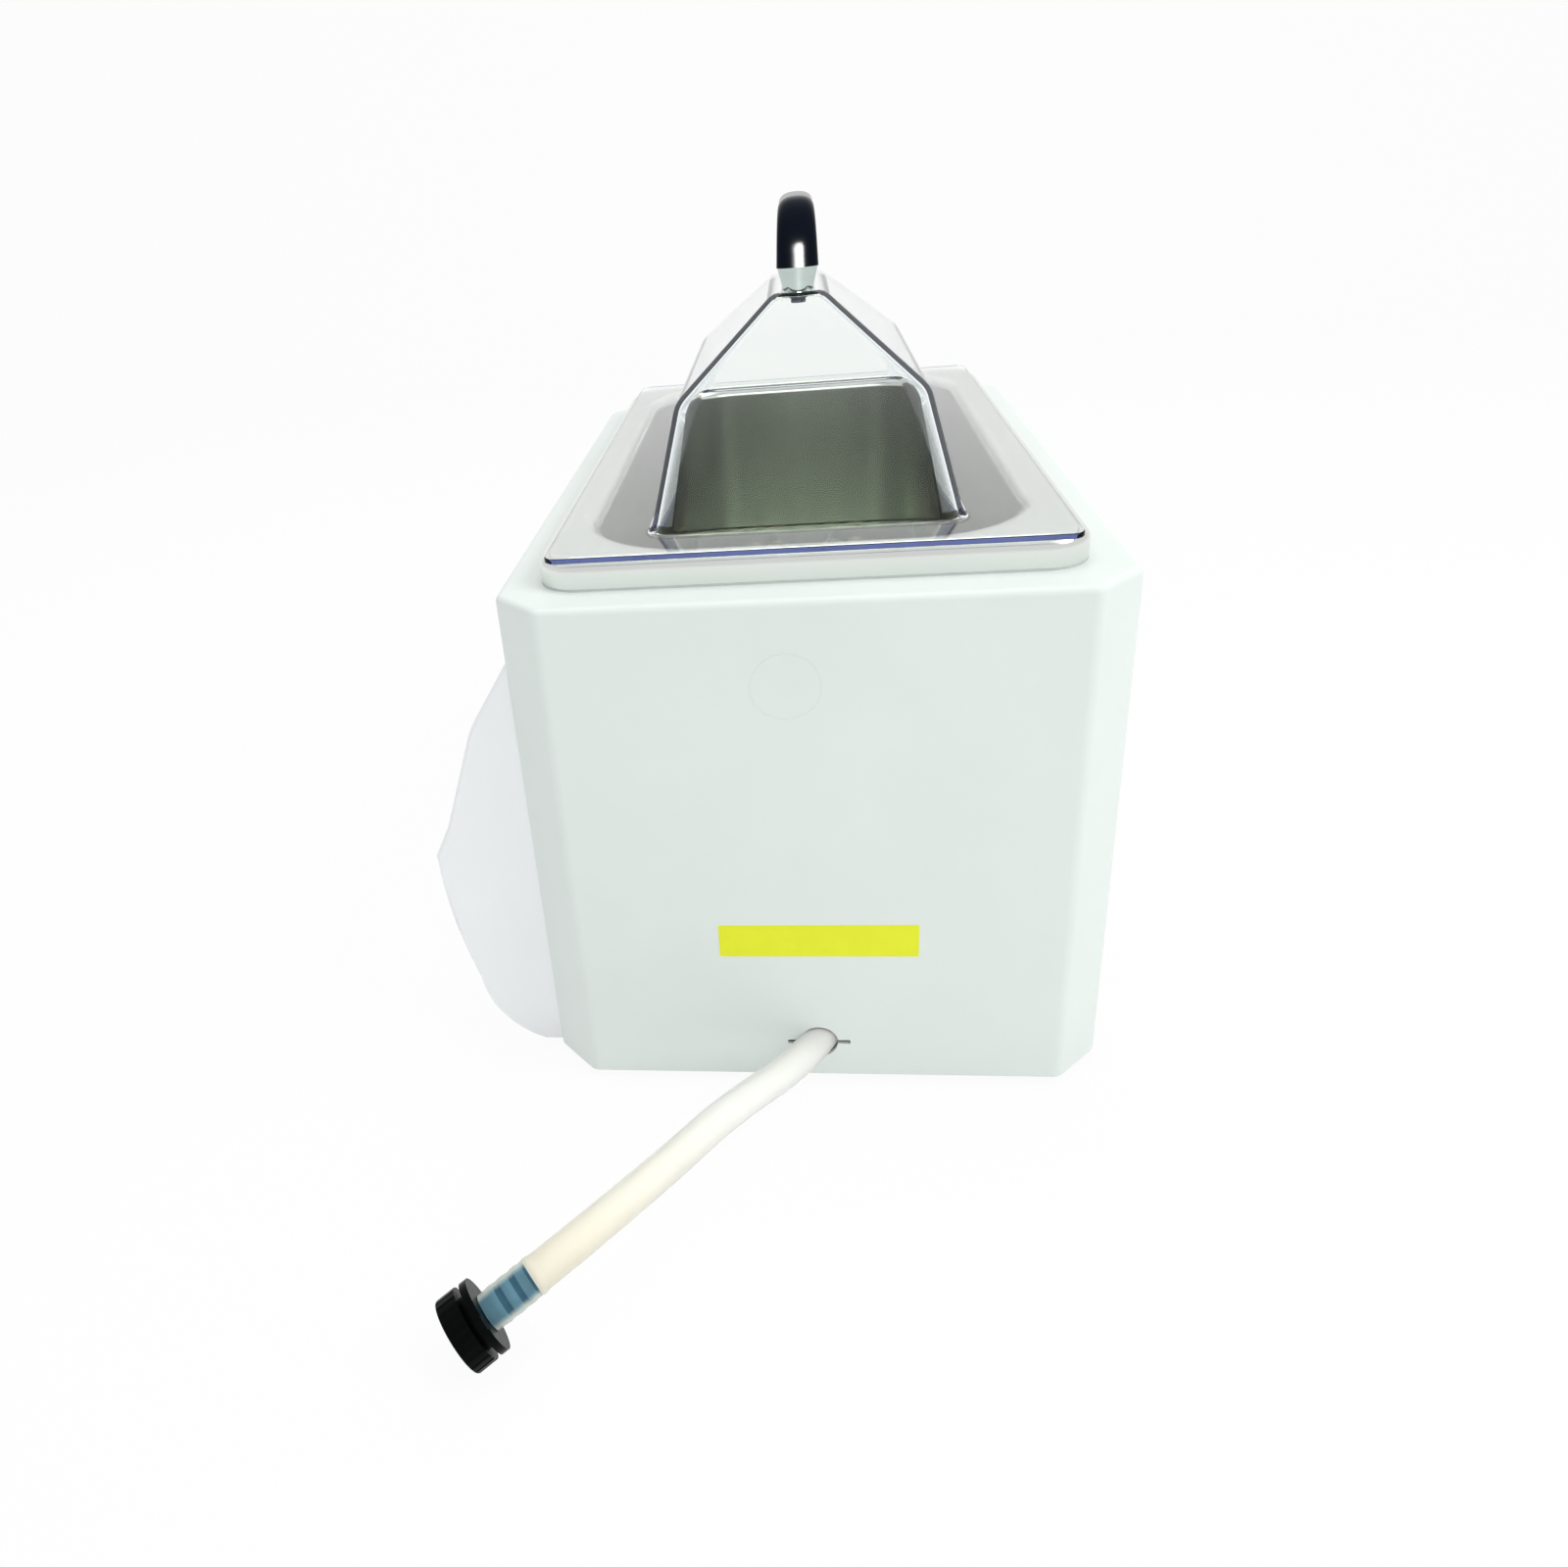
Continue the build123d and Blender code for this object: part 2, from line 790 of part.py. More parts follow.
def handle_screws():
    pieces = []
    under = ridge_z - lid_thickness
    for x in handle_places():
        washer = upright(x, 0, under - washer_thickness, under, washer_radius)
        washer -= upright(x, 0, under - washer_thickness - overrun, under + overrun,
                          handle_screw_radius + screw_hole)
        seat = under - washer_thickness
        head = upright(x, 0, seat - handle_head_height, seat, handle_head_radius)
        shank = upright(x, 0, seat, ridge_z + handle_screw_depth - screw_hole, handle_screw_radius)
        pieces += [washer, head + shank]
    return pieces


# Front fascia and control panel

def fascia_point(reach, height):
    return (-fascia_length / 2, -half_width - reach, base_z + height)


def fascia_face():
    """The fascia's section: two sloping faces, a lip, a bowed apron, a rounded toe and a flat sole."""
    top = fascia_point(0, fascia_top)
    turn = fascia_point(fascia_turn_reach, fascia_turn)
    foot = fascia_point(0, 0)
    sole = fascia_point(fascia_sole_reach, 0)
    lip = fascia_point(fascia_reach, fascia_lip)
    slope = Polyline(top, fascia_point(fascia_break_reach, fascia_break),
                     fascia_point(fascia_ledge_reach, fascia_ledge), lip)
    apron = ThreePointArc(lip, fascia_point(fascia_apron_reach, fascia_apron), turn)
    toe = ThreePointArc(turn, fascia_point(fascia_toe_reach, fascia_toe), sole)
    back = Polyline(sole, foot, top)
    return make_face([slope.edges(), apron.edges(), toe.edges(), back.edges()])


def fascia_block():
    solid = extrude(fascia_face(), fascia_length, dir=(1, 0, 0))
    corner = fascia_point(fascia_break_reach, fascia_break)
    bend = [e for e in solid.edges().filter_by(Axis.X) if abs(e.center().Y - corner[1]) < fascia_wall
            and abs(e.center().Z - corner[2]) < fascia_wall]
    return fillet(bend, fascia_bend)


def fascia_ends(solid):
    """The outer edges of the two end faces, above the toe."""
    return [e for e in solid.edges() if abs(abs(e.center().X) - fascia_length / 2) < fascia_wall / 10
            and e.center().Y < -half_width - fascia_wall and e.center().Z > base_z + fascia_turn]


def fascia_hollow():
    section = offset(fascia_face(), -fascia_wall)
    hollow = extrude(section, fascia_length - 2 * fascia_wall, dir=(1, 0, 0))
    hollow = Pos(fascia_wall, 0, 0) * hollow
    x = fascia_length / 2 - fascia_wall
    mouth = block(-x, x, -half_width - fascia_wall - mark_line, -half_width + overrun,
                  base_z + 2 * fascia_wall, base_z + fascia_top - 2 * fascia_wall)
    return hollow + mouth


def panel_plane():
    """Middle of the sloping face that carries the controls: x along the bath, y up the slope, z outwards."""
    reach = fascia_ledge_reach - fascia_break_reach
    drop = fascia_break - fascia_ledge
    size = hypot(reach, drop)
    middle = (0, -half_width - (fascia_ledge_reach + fascia_break_reach) / 2,
              base_z + (fascia_break + fascia_ledge) / 2)
    return Plane(origin=middle, x_dir=(1, 0, 0), z_dir=(0, -drop / size, reach / size))


def plate_on_panel(length, width, corner, x, y, z0, z1):
    outline = Pos(x, y, z0) * rounded(length, width, corner)
    return panel_plane() * extrude(outline, z1 - z0)


def box_on_panel(length, width, x, y, z0, z1):
    outline = Pos(x, y, z0) * Rectangle(length, width)
    return panel_plane() * extrude(outline, z1 - z0)


def pin_on_panel(radius, x, y, z0, z1):
    outline = Pos(x, y, z0) * Circle(radius)
    return panel_plane() * extrude(outline, z1 - z0)


def key_places():
    return [key_first_along + i * key_pitch for i in range(len(key_names))]


def panel_cuts(z0, z1, lap):
    """Holes for the display, the keys and the mains switch."""
    cut = box_on_panel(window_length - 2 * lap, window_width - 2 * lap, window_along, 0, z0, z1)
    for x in key_places():
        cut += plate_on_panel(key_length + 2 * key_gap, key_width + 2 * key_gap, key_corner + key_gap,
                              x, 0, z0, z1)
    cut += box_on_panel(switch_length + 2 * fit_gap, switch_width + 2 * fit_gap, switch_along, 0, z0, z1)
    return cut


def front_fascia():
    solid = fascia_block()
    solid = fillet(fascia_ends(solid), fascia_end_round)
    shell = solid - fascia_hollow()
    for x, z in fascia_screw_places():
        boss = rod((x, -half_width, z), (0, -1, 0), boss_radius, fascia_reach) & solid
        shell += boss
        shell -= rod((x, -half_width + overrun, z), (0, -1, 0), screw_radius + screw_hole / 2,
                     screw_length + overrun)
    for x, y in corners(standoff_along, standoff_across):
        shell += pin_on_panel(standoff_radius, x, y, -fascia_wall - board_depth, -fascia_wall)
    shell -= panel_cuts(-fascia_wall - overrun / 2, overrun, window_lap)
    return shell


def panel_overlay():
    plate = plate_on_panel(overlay_length, overlay_width, overlay_corner, 0, 0, 0, overlay_thickness)
    return plate - panel_cuts(-overrun, overrun, 0)


def display_window():
    return box_on_panel(window_length - 2 * fit_gap, window_width - 2 * fit_gap, window_along, 0,
                        0, window_thickness)


def display_module():
    board = -fascia_wall - board_depth
    body = box_on_panel(window_length, window_width, window_along, 0, board, board + display_height)
    face = box_on_panel(window_length - 2 * (window_lap + display_margin),
                        window_width - 2 * (window_lap + display_margin), window_along, 0,
                        board + display_height, -fit_gap)
    return body + face


def control_board():
    top = -fascia_wall - board_depth
    board = box_on_panel(board_length, board_width, 0, 0, top - board_thickness, top)
    board -= box_on_panel(switch_length + 2 * board_cut_gap, switch_width + 2 * board_cut_gap, switch_along, 0,
                          top - board_thickness - overrun, top + overrun)
    pieces = [board]
    plunger = key_stem_bottom() - key_travel - tact_spare
    for x in key_places():
        body = box_on_panel(tact_size, tact_size, x, 0, top, plunger - tact_plunger_length)
        pieces.append(body + pin_on_panel(tact_plunger_radius, x, 0, plunger - tact_plunger_length, plunger))
    back = top - board_thickness
    pieces.append(box_on_panel(connector_length, connector_width, harness_along, 0,
                               back - connector_depth, back))
    return pieces


def key_stem_bottom():
    return -fascia_wall - key_flange_gap - key_flange_thickness - key_stem_length


def key(x):
    flange_top = -fascia_wall - key_flange_gap
    cap = plate_on_panel(key_length, key_width, key_corner, x, 0, flange_top, overlay_thickness + key_proud)
    flange = plate_on_panel(key_length + 2 * key_flange, key_width + 2 * key_flange, key_corner + key_flange,
                            x, 0, flange_top - key_flange_thickness, flange_top)
    stem = pin_on_panel(key_stem_radius, x, 0, key_stem_bottom(), flange_top - key_flange_thickness)
    return cap + flange + stem


def rocker_pivot():
    """The rocker's hinge line, as a plane at the middle of the switch."""
    plane = panel_plane()
    middle = plane.from_local_coords((switch_along, 0, -rocker_pivot_depth))
    return Plane(origin=middle, x_dir=plane.x_dir, z_dir=plane.z_dir)


def rocker_drum(radius, length):
    plane = rocker_pivot()
    turned = Plane(origin=plane.origin, x_dir=plane.y_dir, z_dir=plane.x_dir)
    return turned * Cylinder(radius, length)


def switch_frame():
    body = box_on_panel(switch_length, switch_width, switch_along, 0, -switch_depth, overlay_thickness)
    bezel = box_on_panel(switch_length + 2 * switch_bezel, switch_width + 2 * switch_bezel, switch_along, 0,
                         overlay_thickness, overlay_thickness + switch_bezel_thickness)
    frame = body + bezel
    frame -= rocker_drum(rocker_radius + rocker_gap, rocker_length + 2 * rocker_gap)
    return frame - rocker_drum(rocker_pin_radius + rocker_pin_gap, rocker_length + 2 * rocker_pin_length + rocker_gap)


def switch_rocker():
    drum = rocker_drum(rocker_radius, rocker_length)
    half = rocker_length
    crown = [(-2 * rocker_radius, -rocker_belly), (2 * rocker_radius, -rocker_belly),
             (2 * rocker_radius, 2 * rocker_crown - rocker_valley), (0, rocker_valley),
             (-2 * rocker_radius, 2 * rocker_crown - rocker_valley)]
    plane = rocker_pivot()
    side = Plane(origin=plane.origin, x_dir=plane.y_dir, z_dir=plane.x_dir)
    tool = side * (Rot(0, 0, rocker_tilt) * extrude(make_face(Polyline(*crown, close=True)), half, both=True))
    return (drum & tool) + rocker_drum(rocker_pin_radius, rocker_length + 2 * rocker_pin_length)


# Back wall

def nozzle_places():
    return [pump_along, pump_along + nozzle_spacing]


def power_inlet():
    y = half_width
    body = block(inlet_along - inlet_length / 2, inlet_along + inlet_length / 2, y - inlet_depth, y,
                 inlet_height - inlet_width / 2, inlet_height + inlet_width / 2)
    body += block(inlet_along - inlet_flange_length / 2, inlet_along + inlet_flange_length / 2,
                  y, y + inlet_flange_thickness,
                  inlet_height - inlet_flange_width / 2, inlet_height + inlet_flange_width / 2)
    return body - block(inlet_along - inlet_length / 2 + inlet_wall, inlet_along + inlet_length / 2 - inlet_wall,
                        y - inlet_depth + inlet_floor, y + inlet_flange_thickness + overrun,
                        inlet_height - inlet_width / 2 + inlet_wall, inlet_height + inlet_width / 2 - inlet_wall)


def inlet_pins():
    y = half_width - inlet_depth + inlet_floor
    pieces = []
    for i in (-1, 0, 1):
        x = inlet_along + i * pin_pitch
        z = inlet_height + (pin_offset if i == 0 else -pin_offset)
        pieces.append(block(x - pin_thickness / 2, x + pin_thickness / 2, y, y + pin_length,
                            z - pin_width / 2, z + pin_width / 2))
    return pieces


def fuse_holder():
    body = rod((fuse_along, half_width, inlet_height), (0, -1, 0), fuse_body_radius, fuse_body_length)
    cap = rod((fuse_along, half_width, inlet_height), (0, 1, 0), fuse_cap_radius, fuse_cap_height)
    cap = fillet(cap.edges().group_by(Axis.Y)[-1], fuse_cap_radius / 5)
    slot = block(fuse_along - fuse_cap_radius * mid_share, fuse_along + fuse_cap_radius * mid_share,
                 half_width + fuse_cap_height - screw_head_height, half_width + fuse_cap_height + overrun,
                 inlet_height - screw_radius / 2, inlet_height + screw_radius / 2)
    return body + cap - slot


def hose_nozzles():
    pieces = []
    wall = half_width
    for x in nozzle_places():
        piece = rod((x, wall, nozzle_z), (0, 1, 0), nozzle_flange_radius, nozzle_flange_thickness)
        piece += rod((x, wall, nozzle_z), (0, 1, 0), nozzle_radius, nozzle_reach)
        inner = wall - housing_wall - nozzle_thread_length
        piece += rod((x, inner, nozzle_z), (0, 1, 0), nozzle_thread_radius, wall - inner)
        piece += rod((x, inner - nozzle_tail_length, nozzle_z), (0, 1, 0), nozzle_tail_radius, nozzle_tail_length)
        piece -= rod((x, inner - nozzle_tail_length - overrun, nozzle_z), (0, 1, 0), nozzle_bore,
                     nozzle_reach + nozzle_tail_length + nozzle_thread_length + housing_wall + 2 * overrun)
        pieces.append(piece)
    return pieces


def nozzle_nuts():
    pieces = []
    y = half_width - housing_wall - nut_thickness
    for x in nozzle_places():
        plane = Plane(origin=(x, y, nozzle_z), z_dir=(0, 1, 0))
        nut = plane * extrude(RegularPolygon(nut_across / 2, 6, major_radius=False), nut_thickness)
        pieces.append(nut - rod((x, y - overrun, nozzle_z), (0, 1, 0), nozzle_thread_radius + hose_gap / 2,
                                nut_thickness + 2 * overrun))
    return pieces


# Pump and motor

def pump_volute():
    body = along_x(pump_back, pump_front, 0, pump_z, volute_radius)
    body -= along_x(pump_back + volute_back, pump_front + overrun, 0, pump_z, volute_radius - volute_wall)
    spout = rod((pump_along, 0, spout_z), (0, 1, 0), spout_radius, spout_reach)
    spout -= along_x(pump_back, pump_front, 0, pump_z, volute_radius - volute_wall)
    body += spout
    body -= rod((pump_along, 0, spout_z), (0, 1, 0), spout_bore, spout_reach + overrun)
    return body - along_x(pump_back - overrun, pump_along, 0, pump_z, seal_radius + shaft_gap)


def pump_cover():
    cover = along_x(pump_front, pump_front + cover_thickness, 0, pump_z, volute_radius)
    cover += along_x(pump_front, pump_front + cover_thickness + inlet_spout_length, 0, pump_z, inlet_spout_radius)
    return cover - along_x(pump_front - overrun, pump_front + cover_thickness + inlet_spout_length + overrun,
                           0, pump_z, inlet_spout_bore)


def impeller_start():
    return pump_back + volute_back + impeller_gap


def pump_impeller():
    x0 = impeller_start()
    disc = along_x(x0, x0 + impeller_disc, 0, pump_z, impeller_radius)
    disc += along_x(x0, x0 + impeller_disc + impeller_vane_height, 0, pump_z, impeller_hub)
    for i in range(vane_count):
        vane = block(x0 + impeller_disc * mid_share, x0 + impeller_disc + impeller_vane_height,
                     impeller_hub * mid_share, impeller_radius - impeller_vane,
                     -impeller_vane / 2, impeller_vane / 2)
        disc += Pos(0, 0, pump_z) * (Rot(360 / vane_count * i, 0, 0) * vane)
    return disc - along_x(x0 - overrun, x0 + impeller_disc + impeller_vane_height + overrun, 0, pump_z, shaft_radius)


def shaft_end():
    return impeller_start() + impeller_disc + impeller_vane_height


def pump_shaft():
    return along_x(motor_back + motor_wall, shaft_end(), 0, pump_z, shaft_radius)


def shaft_seal():
    ring = along_x(pump_back, pump_back + volute_back, 0, pump_z, seal_radius)
    return ring - along_x(pump_back - overrun, pump_back + volute_back + overrun, 0, pump_z, shaft_radius + shaft_gap)


def motor_can():
    can = along_x(motor_back, motor_front, 0, pump_z, motor_radius)
    hollow = along_x(motor_back + motor_wall, motor_front - motor_face, 0, pump_z, motor_radius - motor_wall)
    can -= hollow
    can += along_x(motor_back + motor_wall, motor_back + motor_wall + bearing_width, 0, pump_z,
                   bearing_radius + motor_wall)
    can += along_x(motor_front - motor_face - bearing_width, motor_front - motor_face, 0, pump_z,
                   bearing_radius + motor_wall)
    for x in bearing_starts():
        can -= along_x(x, x + bearing_width, 0, pump_z, bearing_radius + shaft_gap)
    return can - along_x(motor_front - motor_face - overrun, motor_front + overrun, 0, pump_z,
                         shaft_radius + shaft_gap)


def bearing_starts():
    return [motor_back + motor_wall, motor_front - motor_face - bearing_width]


def motor_bearings():
    pieces = []
    for x in bearing_starts():
        ring = along_x(x, x + bearing_width, 0, pump_z, bearing_radius)
        pieces.append(ring - along_x(x - overrun, x + bearing_width + overrun, 0, pump_z, shaft_radius + shaft_gap))
    return pieces


def motor_middle():
    return (motor_back + motor_front) / 2


def motor_stator():
    x = motor_middle()
    ring = along_x(x - stator_length / 2, x + stator_length / 2, 0, pump_z, motor_radius - motor_wall - shaft_gap)
    return ring - along_x(x - stator_length, x + stator_length, 0, pump_z, stator_inner)


def motor_rotor():
    x = motor_middle()
    drum = along_x(x - rotor_length / 2, x + rotor_length / 2, 0, pump_z, rotor_radius)
    return drum - along_x(x - rotor_length, x + rotor_length, 0, pump_z, shaft_radius)


def pump_bracket():
    x = motor_middle()
    foot = block(x - bracket_spacing / 2 - bracket_sheet, x + bracket_spacing / 2 + bracket_sheet,
                 -bracket_width / 2, bracket_width / 2, plate_z, plate_z + bracket_sheet)
    for side in (-1, 1):
        ear = block(x + side * bracket_spacing / 2 - bracket_sheet / 2,
                    x + side * bracket_spacing / 2 + bracket_sheet / 2,
                    -bracket_width / 2, bracket_width / 2, plate_z, pump_z - bracket_rise)
        foot += ear
    return foot - along_x(motor_back - overrun, motor_front + overrun, 0, pump_z, motor_radius + hose_gap)


# Hoses inside the housing

def drain_line(reach):
    """A point on the hose's straight run through the hole, out from the middle of the wall."""
    x = half_length - housing_wall / 2 + reach * cos(radians(drain_heading))
    return x, -reach * sin(radians(drain_heading)), drain_z


def drain_place():
    x, y, z = drain_line(-drain_bend - drain_run)
    return x, y


def drain_route():
    tail = [(half_length + out, across, height) for out, across, height in drain_tail]
    return [drain_line(-drain_seam), drain_line(drain_lead)] + tail


def floor_spigots():
    drain_x, drain_y = drain_place()
    return [(suction_along, 0, spout_radius), (pump_along + nozzle_spacing, return_across, spout_radius),
            (drain_x, drain_y, drain_spigot_radius)]


def tank_spigots():
    pieces = []
    for x, y, radius in floor_spigots():
        piece = upright(x, y, tank_under_z - spigot_length, tank_floor_z, radius - gland_bore_gap)
        piece += upright(x, y, tank_under_z - spigot_flange_thickness, tank_under_z, spigot_flange_radius)
        wall = radius * mid_share
        piece -= upright(x, y, tank_under_z - spigot_length - overrun, tank_floor_z + overrun, wall)
        pieces.append(piece)
    return pieces


def hose_top():
    return tank_under_z - spigot_flange_thickness - fit_gap


def suction_hose():
    end = pump_front + cover_thickness + fit_gap
    points = [(suction_along, 0, hose_top()), (suction_along, 0, pump_z), (end, 0, pump_z)]
    return bent_tube(points, suction_bend, hose_radius, inlet_spout_radius + hose_gap)


def delivery_hose():
    start = volute_radius + fit_gap
    end = half_width - housing_wall - nozzle_thread_length - fit_gap
    ring = Circle(hose_radius) - Circle(spout_radius + hose_gap)
    plane = Plane(origin=(pump_along, start, spout_z), z_dir=(0, 1, 0))
    return plane * extrude(ring, end - start)


def return_hose():
    x = pump_along + nozzle_spacing
    end = half_width - housing_wall - nozzle_thread_length - fit_gap
    points = [(x, return_across, hose_top()), (x, return_across, nozzle_z), (x, end, nozzle_z)]
    return bent_tube(points, return_bend, hose_radius, spout_radius + hose_gap)


def drain_hose_inside():
    x, y = drain_place()
    points = [(x, y, hose_top()), (x, y, drain_z), drain_line(-drain_seam)]
    return bent_tube(points, drain_bend, drain_hose_radius, drain_hose_bore)


def drain_clamp():
    x, y = drain_place()
    z = tank_under_z - spigot_length + clamp_ring_width
    ring = upright(x, y, z - clamp_ring_width / 2, z + clamp_ring_width / 2,
                   drain_hose_radius + hose_gap + clamp_ring_thickness)
    ring -= upright(x, y, z - clamp_ring_width, z + clamp_ring_width, drain_hose_radius + hose_gap)
    grow = drain_hose_radius + hose_gap
    lug = block(x - clamp_ring_width, x - grow * mid_share, y + grow, y + grow + clamp_ring_width / 2,
                z - clamp_ring_width / 2, z + clamp_ring_width / 2)
    return ring + lug


# Free drain hose and plug

def route_bends():
    bends = []
    route = drain_route()
    for a, b, c in zip(route, route[1:], route[2:]):
        first = Vector(*b) - Vector(*a)
        second = Vector(*c) - Vector(*b)
        half_turn = radians(first.get_angle(second)) / 2
        bends.append(cord_arc_share * min(first.length, second.length) / tan(half_turn))
    return bends


def drain_hose():
    bends = route_bends()
    print("drain hose bend radii", [round(b) for b in bends])
    route = drain_route()
    path = FilletPolyline(*route, radius=bends)
    hose = bent_tube(route, bends, drain_hose_radius, drain_hose_bore)
    print_volume("drain hose", hose, path.length, drain_hose_radius, drain_hose_bore)
    return hose


def plug_plane():
    before, end = [Vector(*point) for point in drain_route()[-2:]]
    return Plane(origin=end, z_dir=end - before)


def plug_disc(radius, z0, z1):
    return plug_plane() * (Pos(0, 0, z0) * extrude(Circle(radius), z1 - z0))


def drain_plug_spigot():
    """Lug disc, groove neck and barbed tail that the hose is pushed over."""
    start = fit_gap
    piece = plug_disc(plug_disc_radius, start, start + plug_disc_thickness)
    piece += plug_disc(plug_groove_radius, start, start + plug_disc_thickness + plug_groove_width)
    tail = plug_barb_count * plug_barb_length
    piece += plug_disc(plug_neck_radius, -tail, start)
    for i in range(plug_barb_count):
        z = -i * plug_barb_length
        wide = plug_plane() * (Pos(0, 0, z - plug_barb_length * mid_share / 2) * Circle(plug_barb_radius))
        slim = plug_plane() * (Pos(0, 0, z - plug_barb_length) * Circle(plug_neck_radius))
        piece += loft([wide, slim], ruled=True)
    for side in (-1, 1):
        lug = Pos(side * plug_disc_radius, 0, start + plug_disc_thickness / 2) * Box(
            2 * plug_lug_reach, plug_lug_width, plug_disc_thickness)
        piece += plug_plane() * (Rot(0, 0, plug_lug_turn) * lug)
    return piece - plug_disc(plug_bore, -tail - overrun, start)


def drain_plug_cap():
    start = fit_gap + plug_disc_thickness + plug_groove_width
    cap = Pos(0, 0, start) * extrude(Circle(plug_cap_radius), plug_cap_thickness)
    cap = fillet(cap.edges().group_by(Axis.Z)[-1], plug_grip_radius)
    dish = Pos(0, 0, start + plug_cap_thickness) * extrude(Circle(plug_cap_radius - plug_cap_dish), -plug_cap_dish)
    bar = Pos(0, 0, start + plug_cap_thickness - plug_cap_dish * mid_share) * Box(
        2 * (plug_cap_radius - plug_cap_dish), plug_cap_dish, plug_cap_dish)
    cap = cap - dish + bar
    for i in range(plug_grip_count):
        spot = Rot(0, 0, 360 / plug_grip_count * i) * Pos(plug_cap_radius + plug_grip_radius / 2, 0, start)
        cap -= spot * extrude(Circle(plug_grip_radius), plug_cap_thickness)
    return plug_plane() * cap


# Electronics

def board_studs():
    along = power_board_length / 2 - 2 * stud_radius
    across = power_board_width / 2 - 2 * stud_radius
    return [(power_board_along + x, power_board_across + y) for x, y in corners(along, across)]


def power_board():
    x, y = power_board_along, power_board_across
    z = plate_z + stud_height
    board = block(x - power_board_length / 2, x + power_board_length / 2,
                  y - power_board_width / 2, y + power_board_width / 2, z, board_top_z)
    x0 = x - power_board_length / 2
    terminals = block(x0, x0 + terminal_block_length, y - terminal_block_width / 2, y + terminal_block_width / 2,
                      board_top_z, board_top_z + terminal_block_height)
    socket = block(harness_along - connector_length / 2, harness_along + connector_length / 2,
                   harness_across - connector_width / 2, harness_across + connector_width / 2,
                   board_top_z, board_top_z + connector_width)
    return [board, terminals, socket]


def transformer():
    x, y = transformer_along, power_board_across
    core = block(x - transformer_length / 2, x + transformer_length / 2, y - transformer_width / 2,
                 y + transformer_width / 2, board_top_z, board_top_z + transformer_height)
    return chamfer(core.edges().filter_by(Axis.Z), sink_fin)


def heat_sink():
    x, y = sink_along, sink_across
    top = plate_z + sink_height
    sink = block(x - sink_length / 2, x + sink_length / 2, y - sink_width / 2, y + sink_width / 2,
                 top - sink_base, top)
    for i in range(sink_fin_count):
        share = i / (sink_fin_count - 1)
        fin_y = y - sink_width / 2 + share * (sink_width - sink_fin)
        sink += block(x - sink_length / 2, x + sink_length / 2, fin_y, fin_y + sink_fin, plate_z, top)
    return sink


def heater_relay():
    x, y = sink_along, sink_across
    z = plate_z + sink_height
    body = block(x - relay_length / 2, x + relay_length / 2, y - relay_width / 2, y + relay_width / 2,
                 z, z + relay_height)
    return chamfer(body.edges().group_by(Axis.Z)[-1], sink_fin)


def control_harness():
    """From the power board's socket up inside the housing and out to the control board's connector."""
    low = board_top_z + connector_width + fit_gap
    depth = -fascia_wall - board_depth - board_thickness - connector_depth
    back = panel_plane().from_local_coords((harness_along, 0, depth))
    points = [(harness_along, harness_across, low), (harness_along, harness_across, back.Z),
              (harness_along, back.Y + connector_gap, back.Z)]
    return bent_tube(points, harness_bend, harness_radius, 0)


def mains_harness():
    """From the inlet along the back and under the pump hoses to the power board's terminals."""
    start = half_width - inlet_depth - fit_gap
    end = power_board_along - power_board_length / 2 - fit_gap
    z = board_top_z + terminal_block_height / 2
    x_turn = end - 2 * mains_bend - overrun
    points = [(inlet_along, start, inlet_height), (inlet_along, mains_across, inlet_height),
              (inlet_along, mains_across, z), (x_turn, mains_across, z),
              (x_turn, power_board_across + terminal_block_width / 2 - 2 * mains_radius, z),
              (end, power_board_across + terminal_block_width / 2 - 2 * mains_radius, z)]
    return bent_tube(points, mains_bend, mains_radius, 0)


def build():
    save("housing_shell", housing_shell())
    save("base_plate", base_plate())
    save("feet", *feet())
    save("case_screws", *case_screws())
    save("label_strip", label_strip())
    save("tank", tank())
    save("rim_gasket", rim_gasket())
    save("tank_clamps", *tank_clamps())
    save("tank_insulation", tank_insulation())
    save("floor_grid", floor_grid())
    save("heater_tube", heater_tube())
    save("wall_glands", *wall_glands())
    save("temperature_probe", probe(-1))
    save("cutout_probe", probe(1))
    save("lid", lid())
    save("handle_grip", handle_grip())
    save("handle_ends", *handle_ends())
    save("handle_screws", *handle_screws())
    save("front_fascia", front_fascia())
    save("panel_overlay", panel_overlay())
    save("display_window", display_window())
    save("display_module", display_module())
    save("control_board", *control_board())
    for name, x in zip(key_names, key_places()):
        save(name, key(x))
    save("switch_frame", switch_frame())
    save("switch_rocker", switch_rocker())
    save("power_inlet", power_inlet())
    save("inlet_pins", *inlet_pins())
    save("fuse_holder", fuse_holder())
    save("hose_nozzles", *hose_nozzles())
    save("nozzle_nuts", *nozzle_nuts())
    save("pump_volute", pump_volute())
    save("pump_cover", pump_cover())
    save("pump_impeller", pump_impeller())
    save("pump_shaft", pump_shaft())
    save("shaft_seal", shaft_seal())
    save("motor_can", motor_can())
    save("motor_bearings", *motor_bearings())
    save("motor_stator", motor_stator())
    save("motor_rotor", motor_rotor())
    save("pump_bracket", pump_bracket())
    save("tank_spigots", *tank_spigots())
    save("suction_hose", suction_hose())
    save("delivery_hose", delivery_hose())
    save("return_hose", return_hose())
    save("drain_hose_inside", drain_hose_inside())
    save("drain_clamp", drain_clamp())
    save("drain_hose", drain_hose())
    save("drain_plug_spigot", drain_plug_spigot())
    save("drain_plug_cap", drain_plug_cap())
    save("power_board", *power_board())
    save("transformer", transformer())
    save("heat_sink", heat_sink())
    save("heater_relay", heater_relay())
    save("control_harness", control_harness())
    save("mains_harness", mains_harness())


